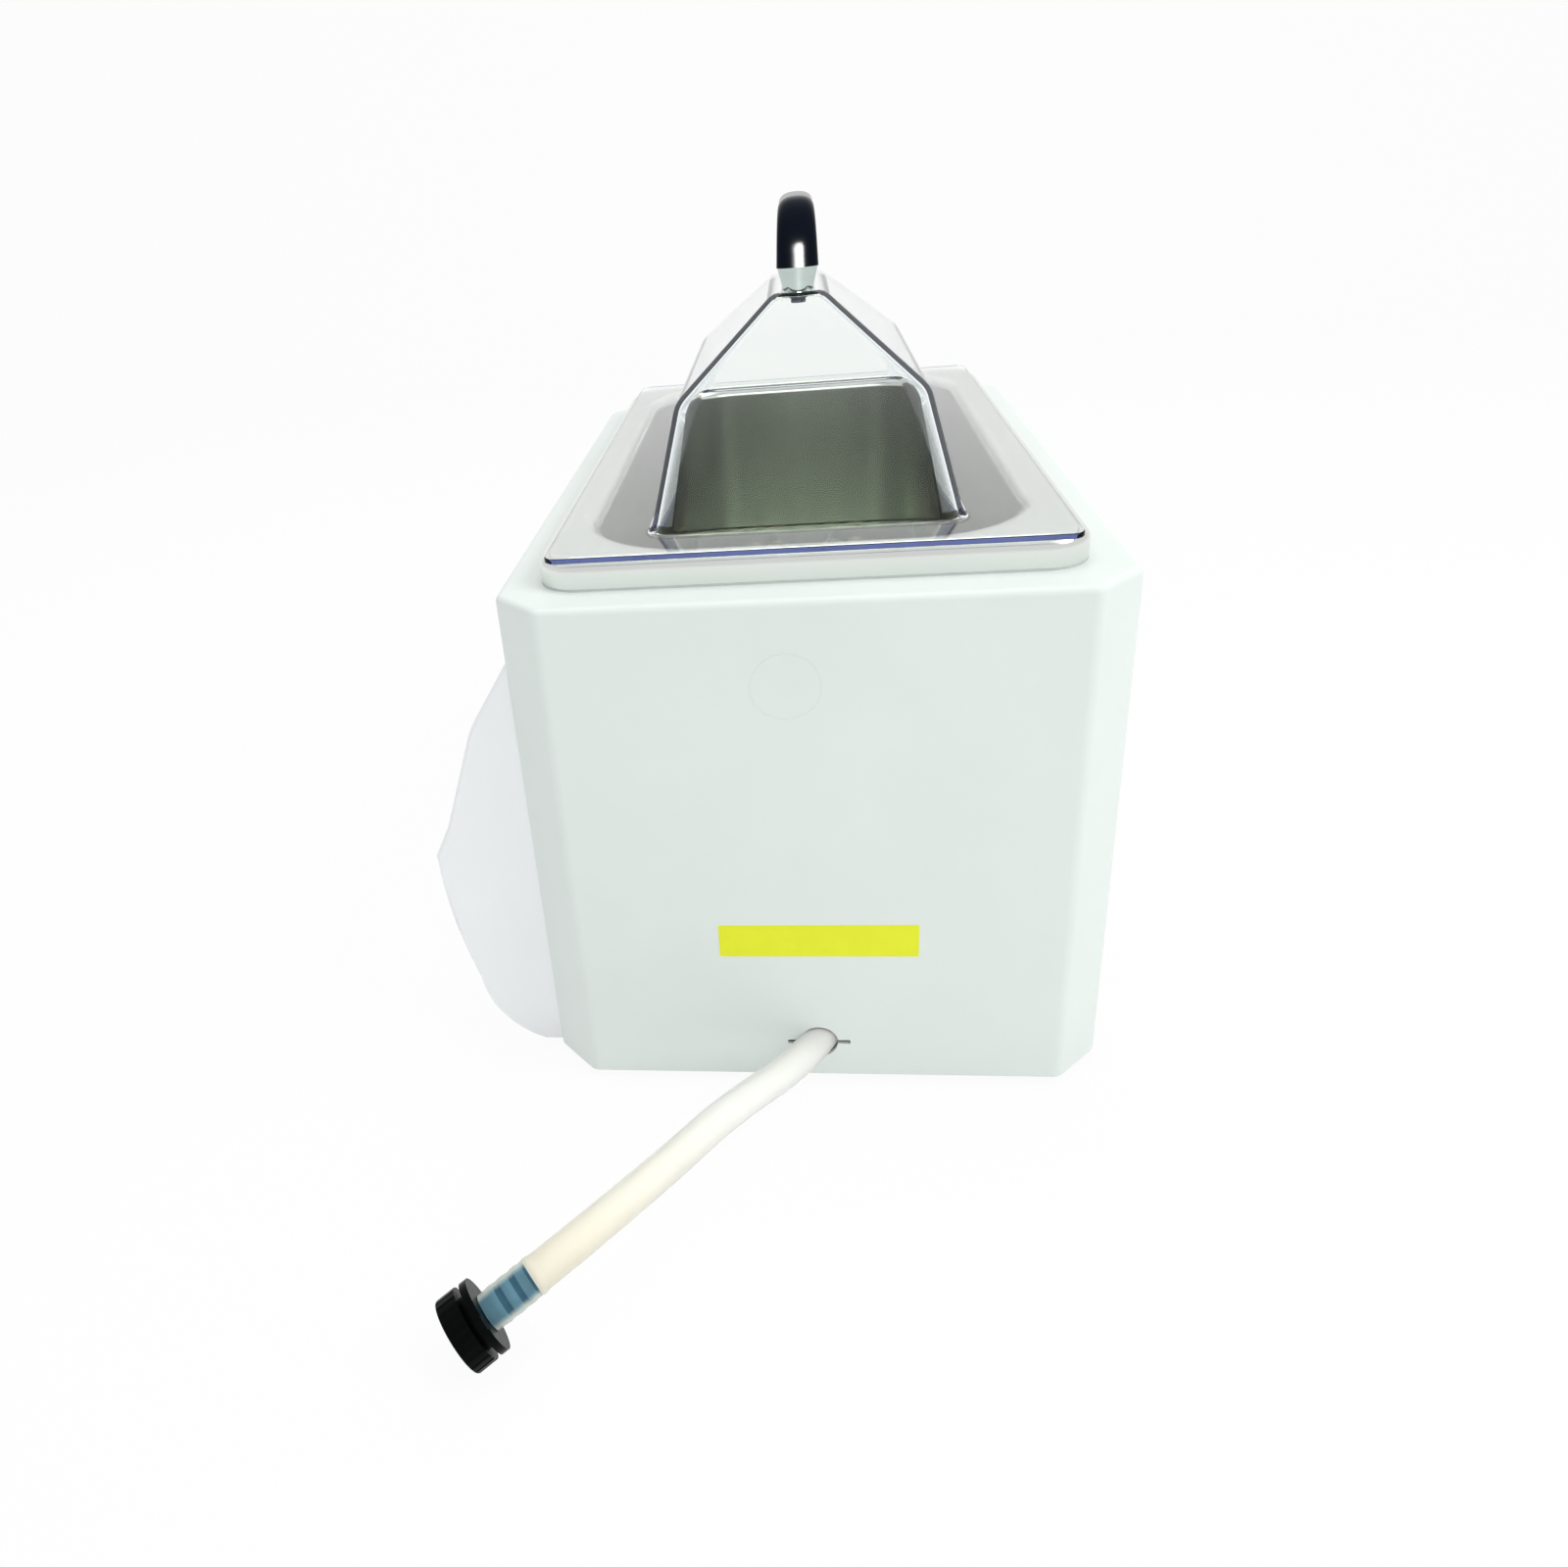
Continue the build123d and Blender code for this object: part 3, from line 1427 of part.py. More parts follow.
build()
os.makedirs("parts", exist_ok=True)
for name, shape in saved.items():
    export_step(shape, f"parts/{name}.step")
print(len(saved), "nodes")
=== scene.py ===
"""Circulating water bath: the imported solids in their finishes, and its clear lid, grip and drain hose."""
import json
from math import cos, pi, radians, sin

import bmesh
import bpy
from mathutils import Matrix, Vector


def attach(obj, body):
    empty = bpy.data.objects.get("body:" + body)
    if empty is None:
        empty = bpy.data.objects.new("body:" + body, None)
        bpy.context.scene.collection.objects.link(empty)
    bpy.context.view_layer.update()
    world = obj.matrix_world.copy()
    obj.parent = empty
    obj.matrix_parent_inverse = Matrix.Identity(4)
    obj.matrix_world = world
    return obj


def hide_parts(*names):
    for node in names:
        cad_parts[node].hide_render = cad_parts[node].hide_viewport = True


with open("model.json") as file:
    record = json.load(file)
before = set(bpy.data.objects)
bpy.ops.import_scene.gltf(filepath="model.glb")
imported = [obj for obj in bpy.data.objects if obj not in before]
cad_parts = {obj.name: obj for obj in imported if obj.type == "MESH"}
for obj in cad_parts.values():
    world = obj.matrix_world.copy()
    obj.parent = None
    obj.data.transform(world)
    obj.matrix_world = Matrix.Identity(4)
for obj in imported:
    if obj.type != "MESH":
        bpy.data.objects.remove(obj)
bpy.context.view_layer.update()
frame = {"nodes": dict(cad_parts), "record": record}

SHIFT = Vector((0.0, 0.017, 0.0))  # from the housing's middle to the middle of the footprint
QUARTER = radians(90)


def add(thing):
    bpy.context.scene.collection.objects.link(thing)


# Camera, solved from the housing's corners in the photograph

PHOTO_WIDTH = 1600.0
PHOTO_MIDDLE = (800.0, 799.5)
STRAIGHT_AHEAD = (650.0, 740.0)  # the pixel that the lens looks at squarely
FOCAL_PIXELS = 1184.57
SENSOR_WIDTH = 36.0
NEAREST_SEEN = 0.01
CAMERA_TURN = Vector((1.5285, 1.6271, -1.1014))  # the axis of the turn, as long as its angle in radians
CAMERA_PLACE = Vector((0.82232, -0.00095, 0.53529))


def make_camera():
    rows = Matrix.Rotation(-CAMERA_TURN.length, 3, CAMERA_TURN.normalized()).transposed()
    right, down, forward = rows
    place = Matrix((right, -down, -forward)).transposed().to_4x4()
    place.translation = CAMERA_PLACE + SHIFT
    data = bpy.data.cameras.new("camera")
    data.sensor_width = SENSOR_WIDTH
    data.sensor_fit = "HORIZONTAL"
    data.lens = FOCAL_PIXELS / PHOTO_WIDTH * SENSOR_WIDTH
    data.shift_x = (PHOTO_MIDDLE[0] - STRAIGHT_AHEAD[0]) / PHOTO_WIDTH
    data.shift_y = (STRAIGHT_AHEAD[1] - PHOTO_MIDDLE[1]) / PHOTO_WIDTH
    data.clip_start = NEAREST_SEEN
    camera = bpy.data.objects.new("camera", data)
    camera.matrix_world = place
    add(camera)
    bpy.context.scene.camera = camera


# Meshes

def link(name, mesh, body):
    piece = bpy.data.objects.new(name, mesh)
    add(piece)
    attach(piece, body)
    return piece


def smooth(mesh, degrees):
    """Rounded shading, with edges sharper than this angle left sharp."""
    mesh.shade_smooth()
    mesh.set_sharp_from_angle(angle=radians(degrees))


def mesh_from(name, verts, faces):
    mesh = bpy.data.meshes.new(name)
    mesh.from_pydata([tuple(v) for v in verts], [], faces)
    mesh.validate()
    bm = bmesh.new()
    bm.from_mesh(mesh)
    bmesh.ops.recalc_face_normals(bm, faces=bm.faces)
    bm.to_mesh(mesh)
    bm.free()
    return mesh


def walls_between(count, size):
    """Quads between successive loops of equal size."""
    faces = []
    for i in range(count - 1):
        a, b = i * size, (i + 1) * size
        for k in range(size):
            n = (k + 1) % size
            faces.append((a + k, a + n, b + n, b + k))
    return faces


def closed_mesh(name, loops):
    """A solid form through loops of equal size, closed over the first and the last."""
    count, size = len(loops), len(loops[0])
    faces = walls_between(count, size)
    faces.append(tuple(range(size)))
    faces.append(tuple(range((count - 1) * size, count * size)))
    return mesh_from(name, [v for loop in loops for v in loop], faces)


def lengths_along(points):
    """The length of a line of points up to each of them."""
    lengths = [0.0]
    for a, b in zip(points, points[1:]):
        lengths.append(lengths[-1] + (b - a).length)
    return lengths


def direction_at(points, i):
    return (points[min(i + 1, len(points) - 1)] - points[max(i - 1, 0)]).normalized()


# Drain hose, from inside the housing to the plug, whose barbed spigot stretches the hose's end

HOSE_RADIUS = 0.0096
HOSE_BORE = 0.0072
HOSE_ROUTE = [
    (0.2409, 0.0271, 0.0316),
    (0.2780, 0.0082, 0.0316),
    (0.3221, -0.0346, 0.0350),
    (0.3679, -0.0654, 0.0395),
    (0.4053, -0.0946, 0.0410),
    (0.4343, -0.1224, 0.0375),
    (0.4525, -0.1498, 0.0254),
]
HOSE_STEPS = 32
HOSE_SIDES = 40
HOSE_SHARP_DEGREES = 50
SWELL = 0.00055
SWELL_PITCH = 0.007
SWELL_STEADY_SHARE = 0.6
SWELL_WAVE_SHARE = 0.4
SWOLLEN_LENGTH = 0.030
SWELL_RUNOUT = 0.003
BARBED_LENGTH = 0.0285
# the barbs show as rings of painted shade: their pitch, and the share of it that is shaded
BARB_PITCH = 0.0068
BARB_SHADE_SHARE = 0.4
HOSE_FINISHES = ["drain_silicone", "stretched_silicone", "painted_barb_shade"]


def hose_line():
    """Points of the hose's NURBS centre line."""
    curve = bpy.data.curves.new("hose_line", "CURVE")
    curve.dimensions = "3D"
    spline = curve.splines.new("NURBS")
    spline.points.add(len(HOSE_ROUTE) - 1)
    for point, place in zip(spline.points, HOSE_ROUTE):
        point.co = (*place, 1.0)
    spline.order_u = 3
    spline.use_endpoint_u = True
    spline.resolution_u = HOSE_STEPS
    holder = bpy.data.objects.new("hose_line", curve)
    add(holder)
    bpy.context.view_layer.update()
    mesh = bpy.data.meshes.new_from_object(holder)
    points = [v.co.copy() for v in mesh.vertices]
    bpy.data.objects.remove(holder)
    bpy.data.meshes.remove(mesh)
    return points


def hose_swell(left):
    """How far the barbs stretch the hose outwards, by the length left to its end."""
    if left >= SWOLLEN_LENGTH:
        return 0.0
    wave = SWELL_STEADY_SHARE + SWELL_WAVE_SHARE * cos(2 * pi * left / SWELL_PITCH)
    return SWELL * wave * min(1.0, left / SWELL_RUNOUT)


def hose_finish(left):
    if left >= BARBED_LENGTH:
        return "drain_silicone"
    # faces over a barb take the darker finish, which is painted shade
    return "painted_barb_shade" if left % BARB_PITCH < BARB_SHADE_SHARE * BARB_PITCH else "stretched_silicone"


def hose_mesh(line, lengths):
    side = Vector((0, 0, 1))
    outer, inner = [], []
    for i, point in enumerate(line):
        along = direction_at(line, i)
        side = (side - along * side.dot(along)).normalized()
        other = along.cross(side)
        swell = hose_swell(lengths[-1] - lengths[i])
        for k in range(HOSE_SIDES):
            angle = 2 * pi * k / HOSE_SIDES
            out = side * cos(angle) + other * sin(angle)
            outer.append(point + out * (HOSE_RADIUS + swell))
            inner.append(point + out * (HOSE_BORE + swell))
    walls = walls_between(len(line), HOSE_SIDES)
    bore = len(outer)
    last = bore - HOSE_SIDES
    faces = walls + [tuple(bore + v for v in reversed(face)) for face in walls]
    for k in range(HOSE_SIDES):
        n = (k + 1) % HOSE_SIDES
        faces.append((n, k, bore + k, bore + n))
        faces.append((last + k, last + n, bore + last + n, bore + last + k))
    return mesh_from("drain_hose_tube", outer + inner, faces)


def make_drain_hose():
    line = hose_line()
    lengths = lengths_along(line)
    mesh = hose_mesh(line, lengths)
    smooth(mesh, HOSE_SHARP_DEGREES)
    for face in mesh.polygons:
        face.material_index = HOSE_FINISHES.index(hose_finish((face.center - line[-1]).length))
    hose = link("drain_hose_tube", mesh, "bath")
    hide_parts("drain_hose")
    return hose


# Lid: each row holds half the length, half the width, the corner's radius and the height above the flange

FLANGE_TOP = 0.3429
LID_SHEET = 0.003
FLANGE = (0.2385, 0.1400, 0.0070)
EDGE_ROUND = 0.0005
EDGE_REACH = 0.0002  # from each bend of the edge to where it starts
EDGE_BAND = 0.0002  # how far inwards of its outline a face still belongs to the edge
RIDGE_HEIGHT = 0.1045
RIDGE = FLANGE_TOP + RIDGE_HEIGHT
DOME_OUTSIDE = [
    (0.2055, 0.0855, 0.0140, 0.0),
    (0.1310, 0.0745, 0.0090, 0.0545),
    (0.0635, 0.0160, 0.0060, RIDGE_HEIGHT),
    (0.0520, 0.0045, 0.0030, RIDGE_HEIGHT),
]
DOME_INSIDE = [
    (0.2046, 0.0830, 0.0115, -LID_SHEET),
    (0.1275, 0.0713, 0.0062, 0.0530),
    (0.0620, 0.0146, 0.0040, RIDGE_HEIGHT - LID_SHEET),
    (0.0510, 0.0036, 0.0020, RIDGE_HEIGHT - LID_SHEET),
]
OUTSIDE_REACH = [0.005, 0.007, 0.006]  # from each bend of the dome to where it starts
INSIDE_REACH = [0.004, 0.006, 0.004]
MOST_OF_A_SIDE = 0.45  # the share of a side that the bend at either end of it may take
BESIDE = 0.0004  # from each bend to the loop that keeps the flat beside it flat
MOST_BESIDE = 0.2  # the share of a side at which that loop lies at most
LEAST_CORNER_FLAT = 1e-5
BEND_STEPS = 6
CORNER_STEPS = 12
LID_SHARP_DEGREES = 30
DOME_START = 0.008  # the height above the flange from which the hips are told apart
HIP_SLANT = 0.1  # the least slant both ways by which a face belongs to a hip between two sides
FLAT_SLANT = 0.9
LID_FINISHES = ["lid_clear", "lid_edge", "lid_bend", "lid_flange"]


def rounded_loop(half_x, half_y, corner, z):
    corner = min(corner, half_x - LEAST_CORNER_FLAT, half_y - LEAST_CORNER_FLAT)
    points = []
    for sx, sy, start in ((1, 1, 0), (-1, 1, 90), (-1, -1, 180), (1, -1, 270)):
        cx, cy = sx * (half_x - corner), sy * (half_y - corner)
        turn = [radians(start + 90 * k / CORNER_STEPS) for k in range(CORNER_STEPS + 1)]
        arc = [Vector((cx + corner * cos(a), cy + corner * sin(a), z)) + SHIFT for a in turn]
        arc.insert(0, arc[0] - Vector((-sin(turn[0]), cos(turn[0]), 0)) * BESIDE)
        arc.append(arc[-1] + Vector((-sin(turn[-1]), cos(turn[-1]), 0)) * BESIDE)
        points += arc
    return points


def mix(a, b, t):
    return tuple(x + (y - x) * t for x, y in zip(a, b))


def distance(a, b):
    return sum((x - y) ** 2 for x, y in zip(a, b)) ** 0.5


def rounded_sections(sections, reach):
    """Sections with each inner one replaced by a short curve that starts and ends its reach away from it."""
    out = [sections[0]]
    for before, here, after, near in zip(sections, sections[1:], sections[2:], reach):
        size_a, size_b = distance(before, here), distance(after, here)
        start = mix(here, before, min(MOST_OF_A_SIDE, near / size_a))
        end = mix(here, after, min(MOST_OF_A_SIDE, near / size_b))
        out.append(mix(start, before, min(MOST_BESIDE, BESIDE / size_a)))
        for k in range(BEND_STEPS + 1):
            t = k / BEND_STEPS
            out.append(mix(mix(start, here, t), mix(here, end, t), t))
        out.append(mix(end, after, min(MOST_BESIDE, BESIDE / size_b)))
    out.append(sections[-1])
    return out


def sheet_side(face_height, inward, dome, dome_reach):
    """One side of the moulded sheet: half of the flange's edge with its corner rounded off, then the dome."""
    half_x, half_y, corner = FLANGE
    edge = [
        (half_x, half_y, corner, -LID_SHEET / 2),
        (half_x, half_y, corner, face_height + inward * EDGE_ROUND),
        (half_x - EDGE_ROUND, half_y - EDGE_ROUND, corner - EDGE_ROUND, face_height),
    ]
    return rounded_sections(edge + dome, [EDGE_REACH, EDGE_REACH] + dome_reach)


def lid_finish(face):
    """The flange's edge, the dome's four hips and the flange's top differ from the rest of the sheet."""
    side, normal = face.center - SHIFT, face.normal
    if abs(side.x) > FLANGE[0] - EDGE_BAND or abs(side.y) > FLANGE[1] - EDGE_BAND:
        return "lid_edge"
    if face.center.z > FLANGE_TOP + DOME_START and side.x * normal.x > 0 and side.y * normal.y > 0:
        return "lid_bend" if min(abs(normal.x), abs(normal.y)) > HIP_SLANT else "lid_clear"
    if face.center.z < FLANGE_TOP + BESIDE and abs(normal.z) > FLAT_SLANT:
        return "lid_flange"
    return "lid_clear"


def make_lid():
    outside = sheet_side(0.0, -1, DOME_OUTSIDE, OUTSIDE_REACH)
    inside = sheet_side(-LID_SHEET, 1, DOME_INSIDE, INSIDE_REACH)
    rows = outside[::-1] + inside[1:]
    mesh = closed_mesh("lid_moulding", [rounded_loop(x, y, r, FLANGE_TOP + z) for x, y, r, z in rows])
    smooth(mesh, LID_SHARP_DEGREES)
    for face in mesh.polygons:
        face.material_index = LID_FINISHES.index(lid_finish(face))
    piece = link("lid_moulding", mesh, "lid_set")
    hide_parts("lid")
    return piece


# Grip: a bail bent from an oval bar, which is widest where it meets its chrome ends

GRIP_HALF = 0.052
GRIP_LOW = RIDGE + 0.014
GRIP_HIGH = RIDGE + 0.0455
GRIP_BEND = 0.022
LEG_STEPS = 5
GRIP_BEND_STEPS = 12
TOP_STEPS = 9
GRIP_SIDES = 36
GRIP_SHARP_DEGREES = 50
GRIP_END_WIDTH = 0.0129
GRIP_SLIMMING = 0.0022
SLIMMING_LENGTH = 0.050
GRIP_DEPTH = 0.0075
GRIP_WAIST = 0.0004
OVAL_POWER = 0.8


def full(value):
    """A sine or cosine filled out, so that an oval drawn with it has flatter sides."""
    return (1 if value > 0 else -1) * abs(value) ** OVAL_POWER


def grip_path():
    """The bar's middle line: a leg, a bend and half of the top, and the same mirrored."""
    leg_top, bend_middle = GRIP_HIGH - GRIP_BEND, GRIP_HALF - GRIP_BEND
    path = [(GRIP_HALF, GRIP_LOW + (leg_top - GRIP_LOW) * k / LEG_STEPS) for k in range(LEG_STEPS + 1)]
    for k in range(1, GRIP_BEND_STEPS + 1):
        angle = QUARTER * k / GRIP_BEND_STEPS
        path.append((bend_middle + GRIP_BEND * cos(angle), leg_top + GRIP_BEND * sin(angle)))
    for k in range(1, TOP_STEPS + 1):
        path.append((bend_middle * (1 - k / TOP_STEPS), GRIP_HIGH))
    path += [(-x, z) for x, z in reversed(path[:-1])]
    return [Vector((x, 0.0, z)) + SHIFT for x, z in path]


def make_grip():
    points = grip_path()
    lengths = lengths_along(points)
    across = Vector((0, 1, 0))
    loops = []
    for i, point in enumerate(points):
        out = direction_at(points, i).cross(across).normalized()
        near_end = min(lengths[i], lengths[-1] - lengths[i])
        share = min(1.0, near_end / SLIMMING_LENGTH)
        wide = across * (GRIP_END_WIDTH - GRIP_SLIMMING * share)
        deep = out * (GRIP_DEPTH - GRIP_WAIST * sin(pi * share))
        angles = [2 * pi * k / GRIP_SIDES for k in range(GRIP_SIDES)]
        loops.append([point + wide * full(cos(angle)) + deep * full(sin(angle)) for angle in angles])
    mesh = closed_mesh("grip_bar", loops)
    smooth(mesh, GRIP_SHARP_DEGREES)
    piece = link("grip_bar", mesh, "lid_set")
    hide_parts("handle_grip")
    return piece


# Finishes: materials whose colour, roughness and height follow noise at the scale of the real surface

WHITE = (1.0, 1.0, 1.0, 1.0)
CLOUD_DETAIL = 4.0
RELIEF_DETAIL = 3.0
COLOUR_STOPS = (0.3, 0.7)  # the values of the noise between which the colour changes
ROUGH_STOPS = (0.25, 0.75)
EVEN = (1.0, 1.0, 1.0)
FINE_RELIEF = (900.0, 0.08, 0.0002)  # scale, strength and height
SOLIDS_SHARP_DEGREES = 32


def colour(red, green, blue):
    """The linear colour of a shade that is given as a screen shows it, from 0 to 255."""
    def linear(v):
        v /= 255
        return v / 12.92 if v <= 0.04045 else ((v + 0.055) / 1.055) ** 2.4
    return linear(red), linear(green), linear(blue), 1.0


def noise(nodes, links, place, scale, detail):
    cloud = nodes.new("ShaderNodeTexNoise")
    cloud.inputs["Scale"].default_value = scale
    cloud.inputs["Detail"].default_value = detail
    links.new(place, cloud.inputs["Vector"])
    return cloud.outputs["Fac"]


def colour_ramp(nodes, links, value, stops, colours):
    ramp = nodes.new("ShaderNodeValToRGB")
    for element, stop, shade in zip(ramp.color_ramp.elements, stops, colours):
        element.position = stop
        element.color = shade
    links.new(value, ramp.inputs["Fac"])
    return ramp.outputs["Color"]


def finish(name, rgb, spread, rough, grain, stretch=EVEN, bump=FINE_RELIEF, **sockets):
    mat = bpy.data.materials.new(name)
    mat.use_nodes = True
    nodes, links = mat.node_tree.nodes, mat.node_tree.links
    shader = nodes["Principled BSDF"]
    place = nodes.new("ShaderNodeTexCoord")
    scale = nodes.new("ShaderNodeMapping")
    scale.inputs["Scale"].default_value = stretch
    links.new(place.outputs["Object"], scale.inputs["Vector"])
    cloud = noise(nodes, links, scale.outputs["Vector"], grain, CLOUD_DETAIL)
    base = colour(*rgb)[:3]
    darker = tuple(c * (1 - spread) for c in base) + (1.0,)
    lighter = tuple(min(1.0, c * (1 + spread)) for c in base) + (1.0,)
    links.new(colour_ramp(nodes, links, cloud, COLOUR_STOPS, (darker, lighter)), shader.inputs["Base Color"])
    span = nodes.new("ShaderNodeMapRange")
    span.inputs["From Min"].default_value, span.inputs["From Max"].default_value = ROUGH_STOPS
    span.inputs["To Min"].default_value, span.inputs["To Max"].default_value = rough
    links.new(cloud, span.inputs["Value"])
    links.new(span.outputs["Result"], shader.inputs["Roughness"])
    bump_scale, bump_strength, bump_height = bump
    relief = nodes.new("ShaderNodeBump")
    relief.inputs["Strength"].default_value = bump_strength
    relief.inputs["Distance"].default_value = bump_height
    fine = noise(nodes, links, scale.outputs["Vector"], bump_scale, RELIEF_DETAIL)
    links.new(fine, relief.inputs["Height"])
    links.new(relief.outputs["Normal"], shader.inputs["Normal"])
    for socket, value in sockets.items():
        shader.inputs[socket.replace("_", " ").title().replace("Ior", "IOR")].default_value = value
    return mat


def shadow_clear(mat, let_through):
    """Lets part of the light through in shadow, as a thin clear or milky wall does."""
    nodes, links = mat.node_tree.nodes, mat.node_tree.links
    path = nodes.new("ShaderNodeLightPath")
    pale = nodes.new("ShaderNodeBsdfTransparent")
    pale.inputs["Color"].default_value = (let_through, let_through, let_through, 1.0)
    both = nodes.new("ShaderNodeMixShader")
    links.new(path.outputs["Is Shadow Ray"], both.inputs["Fac"])
    links.new(nodes["Principled BSDF"].outputs["BSDF"], both.inputs[1])
    links.new(pale.outputs["BSDF"], both.inputs[2])
    links.new(both.outputs["Shader"], nodes["Material Output"].inputs["Surface"])
    return mat


def tinted(mat, value, stops, tints):
    """Multiplies a material's colour by one that runs between two tints as a value passes two stops."""
    nodes, links = mat.node_tree.nodes, mat.node_tree.links
    both = nodes.new("ShaderNodeMix")
    both.data_type = "RGBA"
    both.blend_type = "MULTIPLY"
    both.inputs["Factor"].default_value = 1.0
    links.new(nodes["Color Ramp"].outputs["Color"], both.inputs["A"])
    links.new(colour_ramp(nodes, links, value, stops, tints), both.inputs["B"])
    links.new(both.outputs["Result"], nodes["Principled BSDF"].inputs["Base Color"])
    return mat


def aslant_tint(mat, stops, tints):
    """A tint that changes where the sight line crosses the surface aslant."""
    aslant = mat.node_tree.nodes.new("ShaderNodeLayerWeight")
    return tinted(mat, aslant.outputs["Facing"], stops, tints)


def tint_along(mat, axis, stops, tints):
    """A tint that changes between two places on one axis of the object, in metres."""
    nodes, links = mat.node_tree.nodes, mat.node_tree.links
    split = nodes.new("ShaderNodeSeparateXYZ")
    links.new(nodes["Texture Coordinate"].outputs["Object"], split.inputs["Vector"])
    return tinted(mat, split.outputs[axis], stops, tints)


# Finishes of the clear and milky pieces, and of the tank with its painted shade

# painted shade inside the tank: the heights between which it fades out, and its darkest tint
TANK_SHADE_HEIGHTS = (0.190, 0.334)
TANK_PAINTED_SHADE = colour(172, 182, 160)
HIP_STOPS = (0.62, 1.0)
HIP_BLUE = colour(84, 104, 186)
STRETCHED_STOPS = (0.22, 0.5)
STRETCHED_EDGE = colour(236, 240, 230)
CREAMY_PLACES = (0.33, 0.45)
CREAM = colour(248, 244, 231)


def tank_steel_with_painted_shade():
    """Steel with painted shade: darker down inside the tank, where little light comes back."""
    steel = finish("tank_steel", (228, 231, 227), 0.03, (0.18, 0.28), 9, stretch=(1.0, 1.0, 0.12),
                   bump=(30, 0.01, 0.00005), metallic=1.0)
    return tint_along(steel, "Z", TANK_SHADE_HEIGHTS, (TANK_PAINTED_SHADE, WHITE))


def clear_plastic(name, ior):
    """The dome is seen steeply through, and its flange aslant, where the sheet mirrors more."""
    sheet = finish(name, (252, 254, 253), 0.002, (0.012, 0.03), 12, bump=(30, 0.01, 0.0001),
                   transmission_weight=1.0, ior=ior)
    return shadow_clear(sheet, let_through=0.96)


def bent_sheet():
    """The hips of the dome, where the sheet is seen nearly edge on and its tint shows."""
    sheet = finish("lid_bend", (240, 246, 250), 0.01, (0.02, 0.05), 40, bump=(60, 0.02, 0.0001),
                   transmission_weight=0.9, ior=1.10)
    return shadow_clear(aslant_tint(sheet, HIP_STOPS, (WHITE, HIP_BLUE)), let_through=0.9)


def sawn_edge():
    """The flange's edge, where the light has crossed the whole sheet and is tinted."""
    sheet = finish("lid_edge", (106, 118, 172), 0.10, (0.25, 0.35), 40, bump=(600, 0.05, 0.0001),
                   transmission_weight=0.12, ior=1.20)
    return shadow_clear(sheet, let_through=0.8)


def stretched_silicone(name, spigot_and_barb_shade_rgb):
    """The hose where the spigot stretches it: blue over the spigot, and pale at the wall's edge; a darker
    copy paints the barbs' shade as rings.
    """
    wall = finish(name, (252, 252, 250), 0.02, (0.10, 0.18), 80, bump=(500, 0.04, 0.0001),
                  transmission_weight=0.55, ior=1.20)
    wall = aslant_tint(wall, STRETCHED_STOPS, (colour(*spigot_and_barb_shade_rgb), STRETCHED_EDGE))
    return shadow_clear(wall, let_through=0.8)


def milky_silicone():
    """The hose's milky white, which is creamier towards the plug."""
    wall = finish("drain_silicone", (253, 253, 250), 0.01, (0.32, 0.42), 60, bump=(500, 0.06, 0.0001),
                  transmission_weight=0.5, ior=1.2)
    return shadow_clear(tint_along(wall, "X", CREAMY_PLACES, (WHITE, CREAM)), let_through=0.7)


# Finishes of all slots: name, colour, its spread, the least and most roughness, and the scale of the noise

def body_finishes():
    """Housing, tank and what sits below and around them."""
    return {
        "housing_white": finish("powder_white", (229, 236, 231), 0.015, (0.36, 0.44), 14,
                                bump=(1100, 0.10, 0.0001), coat_weight=0.1, coat_roughness=0.3),
        "base_grey": finish("powder_grey", (150, 154, 154), 0.04, (0.5, 0.6), 60, bump=(900, 0.2, 0.0001)),
        "foot_rubber": finish("foot_rubber", (28, 28, 29), 0.12, (0.7, 0.85), 200, bump=(1500, 0.3, 0.0001)),
        "zinc_steel": finish("zinc_steel", (178, 181, 186), 0.08, (0.28, 0.42), 250, metallic=1.0),
        "strip_yellow": finish("strip_yellow", (234, 240, 16), 0.015, (0.3, 0.36), 120,
                               bump=(600, 0.05, 0.00005)),
        "tank_steel": tank_steel_with_painted_shade(),
        "gasket_grey": finish("gasket_grey", (196, 199, 197), 0.04, (0.6, 0.7), 120),
        "insulation_wool": finish("insulation_wool", (222, 214, 182), 0.12, (0.9, 1.0), 400,
                                  bump=(300, 0.8, 0.001)),
        "heater_steel": finish("heater_steel", (118, 114, 108), 0.15, (0.4, 0.55), 90, metallic=1.0),
        "gland_brass": finish("gland_brass", (206, 182, 124), 0.08, (0.25, 0.38), 120, metallic=1.0),
    }


def lid_finishes():
    """Lid, its handle and the drain hose with its plug."""
    return {
        "handle_black": finish("handle_black", (4, 11, 24), 0.15, (0.14, 0.20), 30,
                               bump=(400, 0.02, 0.00005), specular_ior_level=0.07),
        "handle_chrome": finish("handle_chrome", (188, 200, 196), 0.12, (0.05, 0.12), 40,
                                bump=(300, 0.01, 0.00005), metallic=1.0),
        "screw_dark": finish("screw_steel", (70, 76, 84), 0.1, (0.2, 0.32), 300, metallic=1.0),
        "lid_clear": clear_plastic("lid_clear", ior=1.20),
        "lid_flange": clear_plastic("lid_flange", ior=1.50),
        "lid_edge": sawn_edge(),
        "lid_bend": bent_sheet(),
        "drain_silicone": milky_silicone(),
        "stretched_silicone": stretched_silicone("stretched_silicone", spigot_and_barb_shade_rgb=(128, 174, 192)),
        # the darker copy over the barbs: its spigot colour is darkened with painted shade
        "painted_barb_shade": stretched_silicone("painted_barb_shade", spigot_and_barb_shade_rgb=(78, 122, 146)),
        "plug_black": finish("plug_black", (3, 5, 5), 0.15, (0.26, 0.36), 220,
                             bump=(1400, 0.08, 0.0001), specular_ior_level=0.05),
    }


